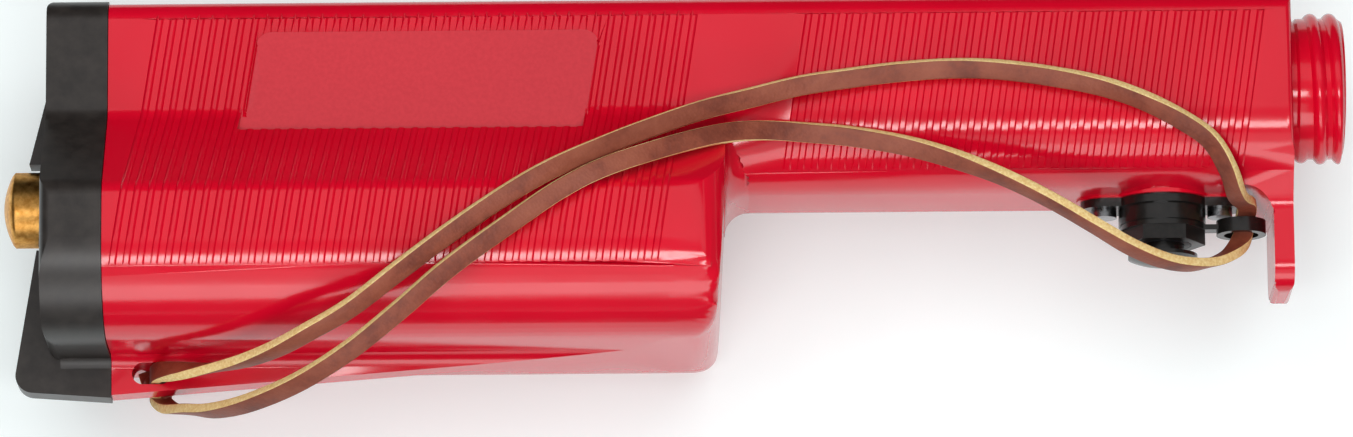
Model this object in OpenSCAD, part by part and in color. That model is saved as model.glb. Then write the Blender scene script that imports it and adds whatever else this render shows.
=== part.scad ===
// Battery handle of a livestock prod, lying on its side as it is put down.
// X runs along the handle towards the threaded nose, Y towards the top of the handle,
// Z up from the surface it lies on. The origin is on the nose axis, at the nose shoulder.

/* [Battery cells] */
// Diameter of one cell
cell_d = 26.2; // [25:0.1:27.5]
// Length of one cell over its nub
cell_l = 50; // [46:0.5:54]
// Diameter of a cell's positive nub
nub_d = 6.6; // [5:0.2:8]
// Height of a cell's positive nub
nub_h = 1.6; // [1:0.1:2.5]
// Free space between a cell and the chamber wall
cell_clearance = 0.4; // [0.2:0.05:0.8]
// Gap between the two lower cells
cell_gap = 1; // [0.6:0.1:2.5]
// Depth of the upper cell's axis below the nose axis
cell_drop = 2; // [1:0.1:3.5]
// Height of the upper cell's axis above the lower cells' axes
cell_rise = 27.2; // [26.5:0.1:30]
// End play of a column of cells
cell_play = 0.1; // [0.1:0.05:0.5]

/* [Housing] */
// Wall of the battery chamber
wall = 1.9; // [1.7:0.1:2.6]
// Wall of the grip
grip_wall = 2.4; // [2:0.1:3]
// Front wall of the battery chamber
front_wall = 3.4; // [3:0.1:4]
// Wall behind the nose
nose_wall = 3.5; // [2.5:0.1:5]
// Length of the grip, from the nose shoulder to the chamber
grip_l = 94.6; // [88:0.2:110]
// Depth of the grip's underside below the nose axis
grip_depth = 19; // [16.5:0.1:20]
// Radius of the grip's lower corners
grip_r = 9.5; // [8:0.5:12]
// Radius of the top edges
top_r = 3.5; // [3:0.1:5]
// Radius of the chamber's lower corners
chamber_r = 15; // [12:0.5:15]
// Radius of the valley between the upper and lower lobes
valley_r = 4; // [2:0.5:6]
// Radius of the lower lobes' shoulders
lobe_r = 4; // [2:0.5:6]
// Depth of the valley below the upper cell's axis
valley_drop = 4.5; // [3:0.1:6]
// Height of the lobes' shoulders above the lower cells' axes
lobe_rise = 7.7; // [6:0.1:9]
// Radius of the edges at the nose shoulder
shoulder_r = 1.4; // [0.8:0.1:2]
// Radius of the chamber's front edges, seen from the side
front_edge_r = 4.5; // [3:0.5:7]
// Radius of the chamber's front edges, seen from above
front_side_r = 6; // [4:0.5:8]
// Lean of the chamber's front face, from the grip to the bottom
front_draft = 1.5; // [0:0.1:3]

/* [Ribs and label pad] */
// Distance from one rib to the next
rib_pitch = 2.28; // [2:0.02:3]
// Width of a rib
rib_w = 0.9; // [0.6:0.05:1.2]
// Height of a rib
rib_h = 0.45; // [0.3:0.05:0.6]
// Lean of the ribs, in degrees
rib_lean = 8.8; // [0:0.2:14]
// Number of ribs on the chamber
chamber_ribs = 40; // [10:1:42]
// Number of ribs on the grip
grip_ribs = 34; // [10:1:35]
// Distance of the chamber's first rib behind the chamber's front face
chamber_rib_x = 4.9; // [4:0.1:6]
// Distance of the grip's first rib behind the nose shoulder
grip_rib_x = 5.1; // [3:0.1:6]
// Height of the grip ribs' lower ends above the grip's underside
grip_rib_rise = 3; // [2:0.1:5]
// Height of the chamber ribs' lower ends above the chamber's underside
chamber_rib_rise = 10.2; // [8:0.2:12]
// Height of the label pad
label_h = 0.55; // [0.5:0.05:0.7]
// Distance of the label pad behind the chamber's front face
label_x = 20.4; // [15:0.2:25]
// Length of the label pad
label_l = 57; // [40:1:70]
// Height of the label pad's top edge above the nose axis
label_top = 7.5; // [5:0.5:8.5]
// Width of the label pad
label_w = 16; // [10:0.5:17]
// Radius of the label pad's corners
label_r = 2.5; // [1:0.5:4]

/* [Nose and guard] */
// Outer diameter of the nose thread
thread_d = 25.4; // [24:0.1:26]
// Length of the nose
nose_l = 9.1; // [8:0.1:14]
// Length of the relief at the nose shoulder
relief_l = 1.2; // [0.8:0.1:2]
// Depth of the relief at the nose shoulder
relief_depth = 1.3; // [0.8:0.1:1.6]
// Chamfer on the end of the nose
nose_chamfer = 1; // [0.5:0.1:1.5]
// Diameter of the socket for the contact disc
disc_d = 19; // [16:0.1:20]
// Thickness of the contact disc
disc_t = 5.6; // [4:0.1:6]
// Depth of the contact disc inside the nose
disc_recess = 1.5; // [1:0.1:2]
// Width of the ledge that the contact disc sits on
disc_ledge = 2; // [1:0.1:3]
// Distance between the two nose contacts
contact_pitch = 8.4; // [7:0.1:9]
// Diameter of a nose contact's head
contact_d = 4.4; // [3:0.1:5]
// Height of a nose contact's head
contact_h = 1; // [0.6:0.1:1.4]
// Diameter of a nose contact's pin
contact_pin = 2.4; // [1.6:0.1:2.6]
// Thickness of the finger guard
guard_t = 3.3; // [2.5:0.1:4]
// Depth of the guard's lower end below the nose axis
guard_depth = 35.8; // [32:0.2:40]
// Width of the guard
guard_w = 18.4; // [14:0.2:22]
// Fillet between the guard and the grip
guard_fillet = 5; // [3:0.5:7]
// Radius of the guard's lower corners
guard_r = 5; // [3:0.5:8]
// Radius of the guard's lower edges
guard_edge = 1.2; // [0.6:0.1:1.5]

// Height above the grip's underside at which the guard's flare meets the grip's sides
guard_flare = 3; // [2:0.2:4]

/* [Fin and strap slot] */
// Thickness of the fin
fin_t = 4.8; // [4:0.1:6]
// Depth of the fin below the chamber at the end cap
fin_h = 6.5; // [5.5:0.1:8]
// Length of the fin along the chamber
fin_l = 85.5; // [60:0.5:90]
// Fillet between the fin and the chamber
fin_fillet = 3.5; // [2:0.1:4]
// Length of the strap slot
slot_l = 6.6; // [5.5:0.1:9]
// Width of the strap slot
slot_w = 3.6; // [3.4:0.1:4]
// Distance of the slot's centre from the seam
slot_x = 6.7; // [6:0.1:12]
// Depth of the slot's centre below the chamber
slot_depth = 2.9; // [2.8:0.05:3.2]

/* [End cap] */
// End wall of the cap
cap_wall = 2.2; // [1.8:0.1:3]
// How far the cap stands proud of the housing
cap_proud = 0.45; // [0:0.05:0.8]
// Radius of the cap's end edges
cap_r = 1.8; // [1:0.1:2.2]
// Length of the housing's neck inside the cap
neck_l = 3.4; // [3.3:0.1:4]
// Depth of the step down to the neck
neck_step = 0.9; // [0.8:0.05:1]
// Free space between the neck and the cap
neck_clearance = 0.15; // [0.1:0.05:0.2]
// Thickness of the gasket
seal_t = 1; // [0.6:0.1:1.4]
// How far the cells stand past the seam
cell_proud = 3.2; // [2.8:0.1:3.2]
// Height of the contact springs
spring_h = 4.3; // [3.9:0.1:6]
// Wire of the contact springs
spring_wire = 0.8; // [0.6:0.05:0.9]
// Radius of a contact spring at its foot
spring_foot_r = 6.2; // [5.5:0.1:6.6]
// Radius of a contact spring at its tip
spring_tip_r = 2.4; // [2:0.1:2.6]
// Turns of a contact spring
spring_turns = 2.5; // [2:0.25:2.75]
// Rise of the upper end fin
upper_fin_h = 3.7; // [2:0.1:5]
// Length of the upper end fin
upper_fin_l = 15; // [10:0.5:16]
// Rise of the lower end fin at its foot
lower_fin_h = 6.2; // [4:0.1:7]
// Rise of the lower end fin at the knob
lower_fin_start = 2.4; // [1:0.1:3]
// Radius of the foot's corner
foot_r = 3; // [1:0.5:4]
// Rise of the foot's end above the bottom of the fin
foot_rise = 1.2; // [0.5:0.1:2]
// Gap between the end fins and the knob
fin_gap = 1; // [0.5:0.1:2]

/* [Knob and tie rod] */
// Diameter of the knob
knob_d = 12.7; // [10:0.1:13]
// Length of the knob's knurled rim
knob_l = 6.1; // [5:0.1:8]
// Height of the knob's dome
dome_h = 1.6; // [1:0.1:2.5]
// Chamfer of the knob's inner edge
knob_chamfer = 0.5; // [0.2:0.1:1]
// Gap between the knob and the cap
knob_gap = 0.3; // [0.2:0.05:0.6]
// Diameter of the knob's shank
shank_d = 4.1; // [3.6:0.1:4.4]
// Length of the shank inside the rod
shank_grip = 12; // [8:0.5:16]
// Running clearance round the shank, on the radius
shank_clearance = 0.08; // [0.05:0.01:0.1]
// Diameter of the tie rod
rod_d = 6.2; // [5.8:0.1:6.4]
// Depth of the tie rod's seat in the front wall
rod_seat = 1.5; // [1:0.1:1.8]
// Thickness of the clip
clip_t = 0.7; // [0.5:0.1:0.9]
// Outer diameter of the clip
clip_d = 8; // [7:0.2:9]
// Depth of the clip's groove in the shank
groove_depth = 0.5; // [0.3:0.05:0.7]

/* [Trigger] */
// Distance of the trigger's axis behind the nose shoulder
trigger_x = 21.4; // [20:0.2:24]
// Width of the bezel's ears
ear_w = 7.8; // [6.8:0.2:9]
// Thickness of the bezel's flange
flange_t = 1.4; // [1.4:0.1:3]
// Diameter of the bezel's boss
boss_d = 14.6; // [13.6:0.1:16]
// Depth of the bezel's boss below its flange
boss_h = 2.7; // [2:0.1:5]
// How far the red pad stands below the grip
pad_h = 0.3; // [0.2:0.1:1]
// Rim of the red pad round the bezel
pad_rim = 0.7; // [0.4:0.1:1.2]
// Thickness of the strap eyelet
eyelet_t = 0.9; // [0.6:0.1:1.2]
// Outer diameter of the eyelet's ring
ring_d = 8.3; // [7.6:0.1:9.5]
// Wall of the eyelet's ring
ring_wall = 1.25; // [1:0.05:1.4]
// Height of the eyelet's ring
ring_h = 2.4; // [1.5:0.1:3]
// Distance of the ring's centre from the trigger's axis
ring_x = 13.2; // [12.8:0.1:13.6]
// Thickness of the lock nut
nut_t = 2.4; // [2:0.1:3]
// Width of the lock nut across its flats
nut_flats = 12.4; // [12:0.1:13]
// Diameter of the switch bushing
bushing_d = 9.5; // [9:0.1:10]
// Diameter of the button's cap
button_d = 11.6; // [10:0.1:12]
// Height of the button's rim
button_rim = 0.6; // [0.4:0.1:1]
// Height of the button's dome
button_dome = 1.3; // [0.8:0.1:2]
// Diameter of the button's plunger
plunger_d = 7.2; // [6:0.1:7.4]
// Travel of the button
button_travel = 1.4; // [1:0.1:1.6]
// Gap left under the pressed button
button_gap = 0.3; // [0.2:0.05:0.5]
// Diameter of a bezel screw's shank
screw_d = 2.2; // [2:0.1:2.6]
// Diameter of a bezel screw's head
screw_head_d = 4.2; // [3.6:0.1:4.6]
// Height of a bezel screw's head
screw_head_h = 1.3; // [1:0.1:1.6]

/* [Electrical parts] */
// Thickness of the contact plates
plate_t = 0.5; // [0.3:0.05:0.8]
// Thickness of the bulkhead
bulkhead_t = 1.6; // [1.2:0.1:3]
// Length of the circuit board
board_l = 52; // [44:1:54]
// Thickness of the circuit board
board_t = 1.6; // [1:0.1:2]
// Depth of the board's underside below the nose axis
board_depth = 5.6; // [5:0.1:6]
// Diameter of an insulated lead
lead_d = 1.4; // [1:0.1:1.6]

/* [Hidden] */
$fn = 96;

// Small gap between pieces that are clamped or seated against each other
seat_gap = 0.1;
// Room between a moving piece and its neighbours
move_gap = 0.3;
// Overlap that joins the solids of one piece
joint_lap = 1;
// Sink of a fillet's arc, so that it meets its walls at an angle
fillet_bite = 0.25;
// Overlap of a corner's arc with its outline
arc_lap = 0.4;
// Swell of a corner's arc, so that it crosses its sides at an angle
arc_swell = 0.006;

// Places of the cells
cell_r = cell_d / 2;
cell_edge = 0.8;
top_cell_y = -cell_drop;
low_cell_y = top_cell_y - cell_rise;
low_cell_z = cell_r + cell_gap / 2;

// Section of the housing
grip_half = cell_r + cell_clearance + wall;
chamber_half = low_cell_z + cell_r + cell_clearance + wall;
top_y = top_cell_y + cell_r + cell_clearance + wall;
under_y = -grip_depth;
chamber_y = low_cell_y - cell_r - cell_clearance - wall;
valley_y = top_cell_y - valley_drop;
lobe_y = low_cell_y + lobe_rise;

// Places along the handle, from the nose to the knob
front_x = -grip_l;
inner_x = front_x - front_wall;
bulkhead_x = inner_x - bulkhead_t;
plates_x = bulkhead_x - plate_t;
cells_x = plates_x - cell_play;
cells_end = cells_x - 2 * cell_l;
seam_x = cells_end + cell_proud;
neck_end = seam_x - neck_l;
seal_x = neck_end - seat_gap;
seal_end = seal_x - seal_t;
springs_x = cells_end - seat_gap;
cap_plate_x = springs_x - spring_h;
cap_inner = cap_plate_x - plate_t;
cap_end = cap_inner - cap_wall;
clip_x = cap_plate_x + seat_gap;
rod_end = clip_x + clip_t + move_gap;
knob_x = cap_end - knob_gap;
shank_end = rod_end + shank_grip;
shank_room = 2;
rod_shoulder = 0.6;

// The tie rod stands at the same distance from all three columns of cells
rod_y = top_cell_y - (low_cell_z * low_cell_z + cell_rise * cell_rise) / (2 * cell_rise);

// Levels of the trigger, from the grip down
pad_y = under_y - pad_h;
flange_y = pad_y - flange_t;
boss_y = flange_y - boss_h;
eyelet_y = boss_y - eyelet_t;
nut_y = eyelet_y - nut_t;
button_y = nut_y - button_gap - button_travel;
floor_y = under_y + grip_wall;
ear_x = boss_d / 2 + move_gap + screw_head_d / 2;
bezel_waist = 1.4;
bushing_hole = bushing_d + 0.4;
seat_rim = 3.5;
screw_rim = 1.5;

// Switch in the grip, and the button's plunger, stem and spring inside it
switch_seat = 0.9;
switch_h = 11;
switch_half_x = ear_x - screw_d / 2 - screw_rim - move_gap;
switch_half_z = 6.5;
plunger_clearance = 0.08;
plunger_l = 10;
stem_d = 3.2;
stem_l = 7.4;
trigger_spring_h = 6.4;
trigger_wire = 0.6;
trigger_coil_r = 2.6;
trigger_turns = 5;
lug_x = 3.5;
lug_h = 3;
lug_half = [1, 1.5];
switch_y = floor_y + switch_seat;
switch_top = switch_y + switch_h;
plunger_y = button_y + plunger_l;
stem_y = plunger_y + stem_l;
spring_seat_y = plunger_y + trigger_spring_h;
screw_bite = 3.4;
screw_end = switch_y + screw_bite;

// Places in the grip
board_y = -board_depth;
board_top = board_y + board_t;
board_inset = 6;
board_play = 0.15;
rail_h = 1.15;
rail_w = 1.6;
board_rear = inner_x + board_inset;
board_front = board_rear + board_l;
board_half = grip_half - grip_wall - board_play;
disc_x = nose_l - disc_recess - disc_t;

// Shapes drawn in a plane and pushed along an axis: [y, z] along X, [x, z] along Y, [x, y] along Z
module along_x(x0, x1) { translate([x0, 0, 0]) rotate([90, 0, 90]) linear_extrude(x1 - x0) children(); }
module along_y(y0, y1) { translate([0, y1, 0]) rotate([90, 0, 0]) linear_extrude(y1 - y0) children(); }
module along_z(z0, z1) { translate([0, 0, z0]) linear_extrude(z1 - z0) children(); }
module rod_along_x(x0, x1, d, y, z) { translate([x0, y, z]) rotate([0, 90, 0]) cylinder(h = x1 - x0, d = d); }
module rod_along_y(y0, y1, d, x, z) { translate([x, y1, z]) rotate([90, 0, 0]) cylinder(h = y1 - y0, d = d); }
module block(low, high) { translate(low) cube(high - low); }

// Outline through [a, b, radius] corners, counter-clockwise, with each corner rounded by a true arc
function unit(v) = v / norm(v);
function flat(p) = [p[0], p[1]];
function corner(pts, i) =
    let (n = len(pts), c = flat(pts[i]), r = pts[i][2],
         u = unit(flat(pts[(i + n - 1) % n]) - c), v = unit(flat(pts[(i + 1) % n]) - c),
         half = acos(u * v) / 2, reach = r / tan(half))
    [c + u * reach, c + v * reach, c + unit(u + v) * r / sin(half), r, v[0] * u[1] - v[1] * u[0] > 0];
function outline_points(pts) = [
    for (i = [0 : len(pts) - 1]) each pts[i][2] > 0
        ? let (k = corner(pts, i)) [k[0], k[1]]
        : [flat(pts[i])]
];
module corner_arc(pts, i) {
    k = corner(pts, i);
    middle = (k[0] + k[1]) / 2;
    away = middle - k[2];
    intersection() {
        translate(k[2]) circle(r = k[3] + arc_swell);
        translate(middle) rotate(atan2(away[1], away[0])) translate([-arc_lap, -k[3]]) square(2 * k[3]);
    }
}
module rounded(pts) {
    difference() {
        union() {
            polygon(outline_points(pts));
            for (i = [0 : len(pts) - 1]) if (pts[i][2] > 0 && corner(pts, i)[4]) corner_arc(pts, i);
        }
        for (i = [0 : len(pts) - 1]) if (pts[i][2] > 0 && !corner(pts, i)[4]) corner_arc(pts, i);
    }
}

// Sections of the grip and of the battery chamber, grown by g all round
module grip_section(g = 0) {
    rounded([
        [under_y - g, -grip_half - g, grip_r + g], [top_y + g, -grip_half - g, top_r + g],
        [top_y + g, grip_half + g, top_r + g], [under_y - g, grip_half + g, grip_r + g]
    ]);
}
module chamber_section(g = 0) {
    slope = norm([valley_y - lobe_y, chamber_half - grip_half]);
    lift = g * (1 - (valley_y - lobe_y) / slope) / ((chamber_half - grip_half) / slope);
    side = [
        [chamber_y - g, chamber_half + g, chamber_r + g], [lobe_y + lift, chamber_half + g, lobe_r + g],
        [valley_y + lift, grip_half + g, valley_r - g], [top_y + g, grip_half + g, top_r + g]
    ];
    rounded(concat(
        [for (p = side) [p[0], -p[1], p[2]]],
        [for (i = [len(side) - 1 : -1 : 0]) side[i]]
    ));
}

// A row of leaning ribs, as blades right through the section
module blades(first_x, count, low_y, high_y) {
    back = tan(rib_lean) * (high_y - low_y);
    for (i = [0 : count - 1]) {
        x = first_x - i * rib_pitch;
        along_z(-chamber_half - joint_lap, chamber_half + joint_lap) polygon([
            [x - rib_w / 2 - back, low_y], [x + rib_w / 2 - back, low_y],
            [x + rib_w / 2, high_y], [x - rib_w / 2, high_y]
        ]);
    }
}
module grip_block() {
    intersection() {
        along_x(inner_x, 0) grip_section();
        along_z(-grip_half, grip_half) rounded([
            [inner_x, under_y, 0], [0, under_y, 0], [0, top_y, shoulder_r], [inner_x, top_y, 0]
        ]);
        along_y(under_y, top_y) rounded([
            [inner_x, -grip_half, 0], [0, -grip_half, shoulder_r],
            [0, grip_half, shoulder_r], [inner_x, grip_half, 0]
        ]);
    }
}
module chamber_block() {
    intersection() {
        along_x(seam_x, front_x) chamber_section();
        along_z(-chamber_half, chamber_half) rounded([
            [seam_x, chamber_y, 0], [front_x - front_draft, chamber_y, front_edge_r],
            [front_x, under_y, 0], [front_x, top_y, 0], [seam_x, top_y, 0]
        ]);
        along_y(chamber_y, top_y) rounded([
            [seam_x, -chamber_half, 0], [front_x, -chamber_half, front_side_r],
            [front_x, chamber_half, front_side_r], [seam_x, chamber_half, 0]
        ]);
    }
}
module ribs() {
    high_y = top_y - top_r;
    intersection() {
        along_x(seam_x, front_x) chamber_section(rib_h);
        blades(front_x - chamber_rib_x, chamber_ribs, chamber_y + chamber_rib_rise, high_y);
    }
    intersection() {
        along_x(front_x, 0) grip_section(rib_h);
        blades(-grip_rib_x, grip_ribs, under_y + grip_rib_rise, high_y);
    }
}
module label_pad() {
    lean = tan(rib_lean) * label_w;
    right = front_x - label_x;
    low = label_top - label_w;
    along_z(grip_half - wall / 2, grip_half + label_h) rounded([
        [right - label_l - lean, low, label_r], [right - lean, low, label_r],
        [right, label_top, label_r], [right - label_l, label_top, label_r]
    ]);
}

// Web below the chamber, flared into it on both sides
module web_section(t, h) {
    union() {
        translate([chamber_y - h, -t / 2]) square([h + wall / 2, t]);
        for (side = [-1, 1]) difference() {
            translate([chamber_y - fin_fillet, side > 0 ? 0 : -t / 2 - fin_fillet])
                square([fin_fillet + wall / 2, t / 2 + fin_fillet]);
            translate([chamber_y - fin_fillet + fillet_bite, side * (t / 2 + fin_fillet - fillet_bite)])
                circle(r = fin_fillet);
        }
    }
}
module housing_fin() {
    tip_x = seam_x + fin_l * (fin_h + wall) / fin_h;
    intersection() {
        along_x(seam_x, tip_x) web_section(fin_t, fin_h + joint_lap);
        along_z(-chamber_half, chamber_half) polygon([
            [seam_x, chamber_y - fin_h], [tip_x, chamber_y + wall], [seam_x, chamber_y + wall]
        ]);
    }
}
module strap_slot() {
    half = (slot_l - slot_w) / 2;
    depth = fin_t / 2 + fin_fillet + joint_lap;
    translate([seam_x + slot_x, chamber_y - slot_depth, 0]) union() {
        for (side = [-half, half]) translate([side, 0, -depth]) cylinder(h = 2 * depth, d = slot_w);
        translate([-half, -slot_w / 2, -depth]) cube([2 * half, slot_w, 2 * depth]);
    }
}

// Finger guard below the nose
module finger_guard() {
    root_y = under_y + grip_r / 2;
    waist_y = under_y - guard_fillet / 2;
    flare_y = under_y + guard_flare;
    flare_half = grip_half - grip_r + sqrt(guard_flare * (2 * grip_r - guard_flare)) - fillet_bite;
    back_x = -guard_t - guard_fillet - joint_lap;
    intersection() {
        along_z(-grip_half, grip_half) rounded([
            [-guard_t, -guard_depth, guard_edge], [0, -guard_depth, guard_edge], [0, root_y, 0],
            [back_x, root_y, 0], [back_x, under_y + fillet_bite, 0],
            [-guard_t, under_y + fillet_bite, guard_fillet]
        ]);
        along_x(back_x, 0) rounded([
            [-guard_depth, -guard_w / 2, guard_r], [waist_y, -guard_w / 2, guard_r],
            [flare_y, -flare_half, 0], [root_y, -flare_half, 0],
            [root_y, flare_half, 0], [flare_y, flare_half, 0],
            [waist_y, guard_w / 2, guard_r], [-guard_depth, guard_w / 2, guard_r]
        ]);
    }
}
module nose() {
    plain_end = nose_l - nose_chamfer;
    rod_along_x(-nose_wall, relief_l + joint_lap, thread_d - 2 * relief_depth, 0, 0);
    rod_along_x(relief_l, plain_end, thread_d, 0, 0);
    translate([plain_end, 0, 0]) rotate([0, 90, 0])
        cylinder(h = nose_chamfer, d1 = thread_d, d2 = thread_d - 2 * nose_chamfer);
}

// Two-eared outline of the bezel, grown by g
module bezel_outline(g = 0) {
    translate([-trigger_x, 0]) union() {
        circle(d = boss_d + bezel_waist + 2 * g);
        for (side = [-ear_x, ear_x]) translate([side, 0]) circle(d = ear_w + 2 * g);
        translate([-ear_x, -ear_w / 2 - g]) square([2 * ear_x, ear_w + 2 * g]);
    }
}
screw_xs = [-trigger_x - ear_x, -trigger_x + ear_x];
module trigger_seats() {
    rod_along_y(floor_y - grip_wall / 2, switch_y, bushing_d + 2 * seat_rim, -trigger_x, 0);
    for (x = screw_xs) rod_along_y(floor_y - grip_wall / 2, screw_end, screw_d + 2 * screw_rim, x, 0);
}
module trigger_holes() {
    rod_along_y(boss_y, switch_top, bushing_hole, -trigger_x, 0);
    for (x = screw_xs) rod_along_y(boss_y, screw_end + joint_lap, screw_d + seat_gap, x, 0);
    along_y(boss_y, pad_y) bezel_outline(move_gap);
}
module board_rails() {
    inside = grip_half - grip_wall;
    for (side = [-1, 1]) for (y = [board_y - seat_gap - rail_h, board_top + seat_gap])
        translate([board_rear, y, side > 0 ? inside - rail_w : -inside - grip_wall / 2])
            cube([board_l, rail_h, rail_w + grip_wall / 2]);
}
module housing_outside() {
    union() {
        grip_block();
        chamber_block();
        along_x(neck_end, seam_x + joint_lap) chamber_section(-neck_step);
        ribs();
        label_pad();
        housing_fin();
        finger_guard();
        nose();
        along_y(pad_y, under_y + grip_wall / 2) bezel_outline(pad_rim);
    }
}
module housing_inside() {
    union() {
        along_x(neck_end - joint_lap, inner_x) chamber_section(-wall);
        along_x(inner_x - joint_lap, -nose_wall) grip_section(-grip_wall);
        rod_along_x(-nose_wall - joint_lap, disc_x + joint_lap, disc_d - 2 * disc_ledge, 0, 0);
        rod_along_x(disc_x, nose_l + joint_lap, disc_d + 2 * seat_gap, 0, 0);
        rod_along_x(inner_x - joint_lap, inner_x + rod_seat, rod_d + 2 * seat_gap, rod_y, 0);
    }
}
module housing() {
    color("#b5121b") difference() {
        union() {
            difference() {
                housing_outside();
                housing_inside();
            }
            trigger_seats();
            board_rails();
        }
        trigger_holes();
        strap_slot();
    }
}

// End cap: a shell over the housing's neck, with two fins and a foot in the mid-plane
module cap_block() {
    low = chamber_y - cap_proud;
    high = top_y + cap_proud;
    side = chamber_half + cap_proud;
    front = seam_x - seat_gap;
    intersection() {
        along_x(cap_end, front) chamber_section(cap_proud);
        along_z(-side, side) rounded([
            [cap_end, low, cap_r], [front, low, 0], [front, high, 0], [cap_end, high, cap_r]
        ]);
        along_y(low, high) rounded([
            [cap_end, -side, cap_r], [front, -side, 0], [front, side, 0], [cap_end, side, cap_r]
        ]);
    }
}
module cap_fins() {
    front = seam_x - seat_gap;
    root = cap_end + cap_wall / 2;
    upper_y = rod_y + knob_d / 2 + fin_gap;
    lower_y = rod_y - knob_d / 2 - fin_gap;
    fin_low = chamber_y - fin_h - cap_proud;
    along_z(-fin_t / 2, fin_t / 2) polygon([
        [root, upper_y], [root, upper_y + upper_fin_l], [cap_end, upper_y + upper_fin_l],
        [cap_end - upper_fin_h, upper_y]
    ]);
    foot = [
        [front, fin_low, 0], [front, chamber_y + wall, 0], [root, lower_y, 0],
        [cap_end - lower_fin_start, lower_y, 0], [cap_end - lower_fin_h, fin_low + foot_rise, foot_r]
    ];
    along_z(-fin_t / 2, fin_t / 2) rounded(foot);
    intersection() {
        along_x(cap_end + cap_r, front) web_section(fin_t, fin_h + cap_proud + joint_lap);
        along_z(-chamber_half, chamber_half) rounded(foot);
    }
}
module end_cap() {
    color("#1b1b1d") difference() {
        union() {
            cap_block();
            cap_fins();
        }
        along_x(seal_end, seam_x + joint_lap) chamber_section(neck_clearance - neck_step);
        along_x(cap_inner, seal_end + joint_lap) chamber_section(-wall - seat_gap);
        rod_along_x(cap_end - joint_lap, cap_inner + joint_lap, shank_d + 2 * shank_clearance, rod_y, 0);
    }
}
module cap_seal() {
    color("#3a3a3c") along_x(seal_end, seal_x) difference() {
        chamber_section(neck_clearance - neck_step - seat_gap);
        chamber_section(-wall);
    }
}

// Knob, its clip and the rod that it screws into
module thumb_knob() {
    rim_x = knob_x - knob_l;
    dome_r = (knob_d * knob_d / 4 + dome_h * dome_h) / (2 * dome_h);
    groove_end = clip_x + clip_t + seat_gap;
    color("#b08d45") union() {
        rod_along_x(rim_x, knob_x - knob_chamfer, knob_d, rod_y, 0);
        translate([knob_x - knob_chamfer, rod_y, 0]) rotate([0, 90, 0])
            cylinder(h = knob_chamfer, d1 = knob_d, d2 = knob_d - 2 * knob_chamfer);
        intersection() {
            translate([rim_x - dome_h + dome_r, rod_y, 0]) sphere(r = dome_r);
            rod_along_x(rim_x - dome_h - joint_lap, rim_x + joint_lap, knob_d, rod_y, 0);
        }
        rod_along_x(knob_x - joint_lap, clip_x, shank_d, rod_y, 0);
        rod_along_x(clip_x - joint_lap, groove_end + joint_lap, shank_d - 2 * groove_depth, rod_y, 0);
        rod_along_x(groove_end, shank_end, shank_d, rod_y, 0);
    }
}
module knob_clip() {
    inner = shank_d - 2 * groove_depth + seat_gap;
    color("#8d8f92") along_x(clip_x, clip_x + clip_t) translate([rod_y, 0]) difference() {
        circle(d = clip_d);
        circle(d = inner);
        translate([0, -inner / 2]) square([clip_d, inner]);
    }
}
module tie_rod() {
    color("#b08d45") difference() {
        union() {
            rod_along_x(rod_end, inner_x + rod_seat - seat_gap, rod_d, rod_y, 0);
            rod_along_x(plates_x - plate_t, plates_x, rod_d + 2 * rod_shoulder, rod_y, 0);
        }
        rod_along_x(rod_end - joint_lap, shank_end + shank_room, shank_d + 2 * shank_clearance, rod_y, 0);
    }
}

// One cell with its front end at x, nub forward (1) or rearward (-1)
module cell(x, y, z, facing) {
    can_l = cell_l - nub_h;
    color("#5c5f66") translate([facing > 0 ? x - cell_l : x, y, z]) rotate([0, 90 * facing, 0])
        rotate_extrude() polygon([
            [0, 0], [cell_r - cell_edge, 0], [cell_r, cell_edge], [cell_r, can_l - cell_edge],
            [cell_r - cell_edge, can_l], [nub_d / 2, can_l], [nub_d / 2, cell_l], [0, cell_l]
        ]);
}
module cell_top_front() { cell(cells_x, top_cell_y, 0, 1); }
module cell_top_rear() { cell(cells_x - cell_l, top_cell_y, 0, 1); }
module cell_near_front() { cell(cells_x, low_cell_y, low_cell_z, -1); }
module cell_near_rear() { cell(cells_x - cell_l, low_cell_y, low_cell_z, -1); }
module cell_far_front() { cell(cells_x, low_cell_y, -low_cell_z, 1); }
module cell_far_rear() { cell(cells_x - cell_l, low_cell_y, -low_cell_z, 1); }

// Contact plates, drawn in [y, z]
top_at = [top_cell_y, 0];
near_at = [low_cell_y, low_cell_z];
far_at = [low_cell_y, -low_cell_z];
rod_at = [rod_y, 0];
far_tab_step = [-7, -6];
far_tab = top_at + far_tab_step;
rod_tab_step = [6.8, 0];
rod_tab = rod_at + rod_tab_step;
pad_r = 6;
strip_w = 4;
tab_r = 1.5;
collar_rim = 1.5;
pin_d = 1.8;
pin_reach = 2.5;
module strip(p, q, w) {
    run = q - p;
    translate(p) rotate(atan2(run[1], run[0])) translate([0, -w / 2]) square([norm(run), w]);
}
module tab_pin(at, d = pin_d) { rod_along_x(plates_x, inner_x + pin_reach, d, at[0], at[1]); }
module front_bridge_plate() {
    color("#c9b27a") along_x(plates_x, bulkhead_x) union() {
        for (at = [top_at, near_at]) translate(at) circle(r = pad_r);
        strip(top_at, near_at, strip_w);
    }
}
module front_terminal_plate() {
    color("#c9b27a") union() {
        along_x(plates_x, bulkhead_x) union() {
            translate(far_at) circle(r = pad_r);
            translate(far_tab) circle(r = tab_r);
            strip(far_at, far_tab, 2 * tab_r);
        }
        tab_pin(far_tab);
    }
}
module rod_terminal() {
    color("#c9b27a") union() {
        along_x(plates_x, bulkhead_x) difference() {
            union() {
                translate(rod_at) circle(r = rod_d / 2 + collar_rim);
                translate(rod_tab) circle(r = tab_r);
                strip(rod_at, rod_tab, 2 * tab_r);
            }
            translate(rod_at) circle(d = rod_d + 2 * seat_gap);
        }
        tab_pin(rod_tab);
    }
}
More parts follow.
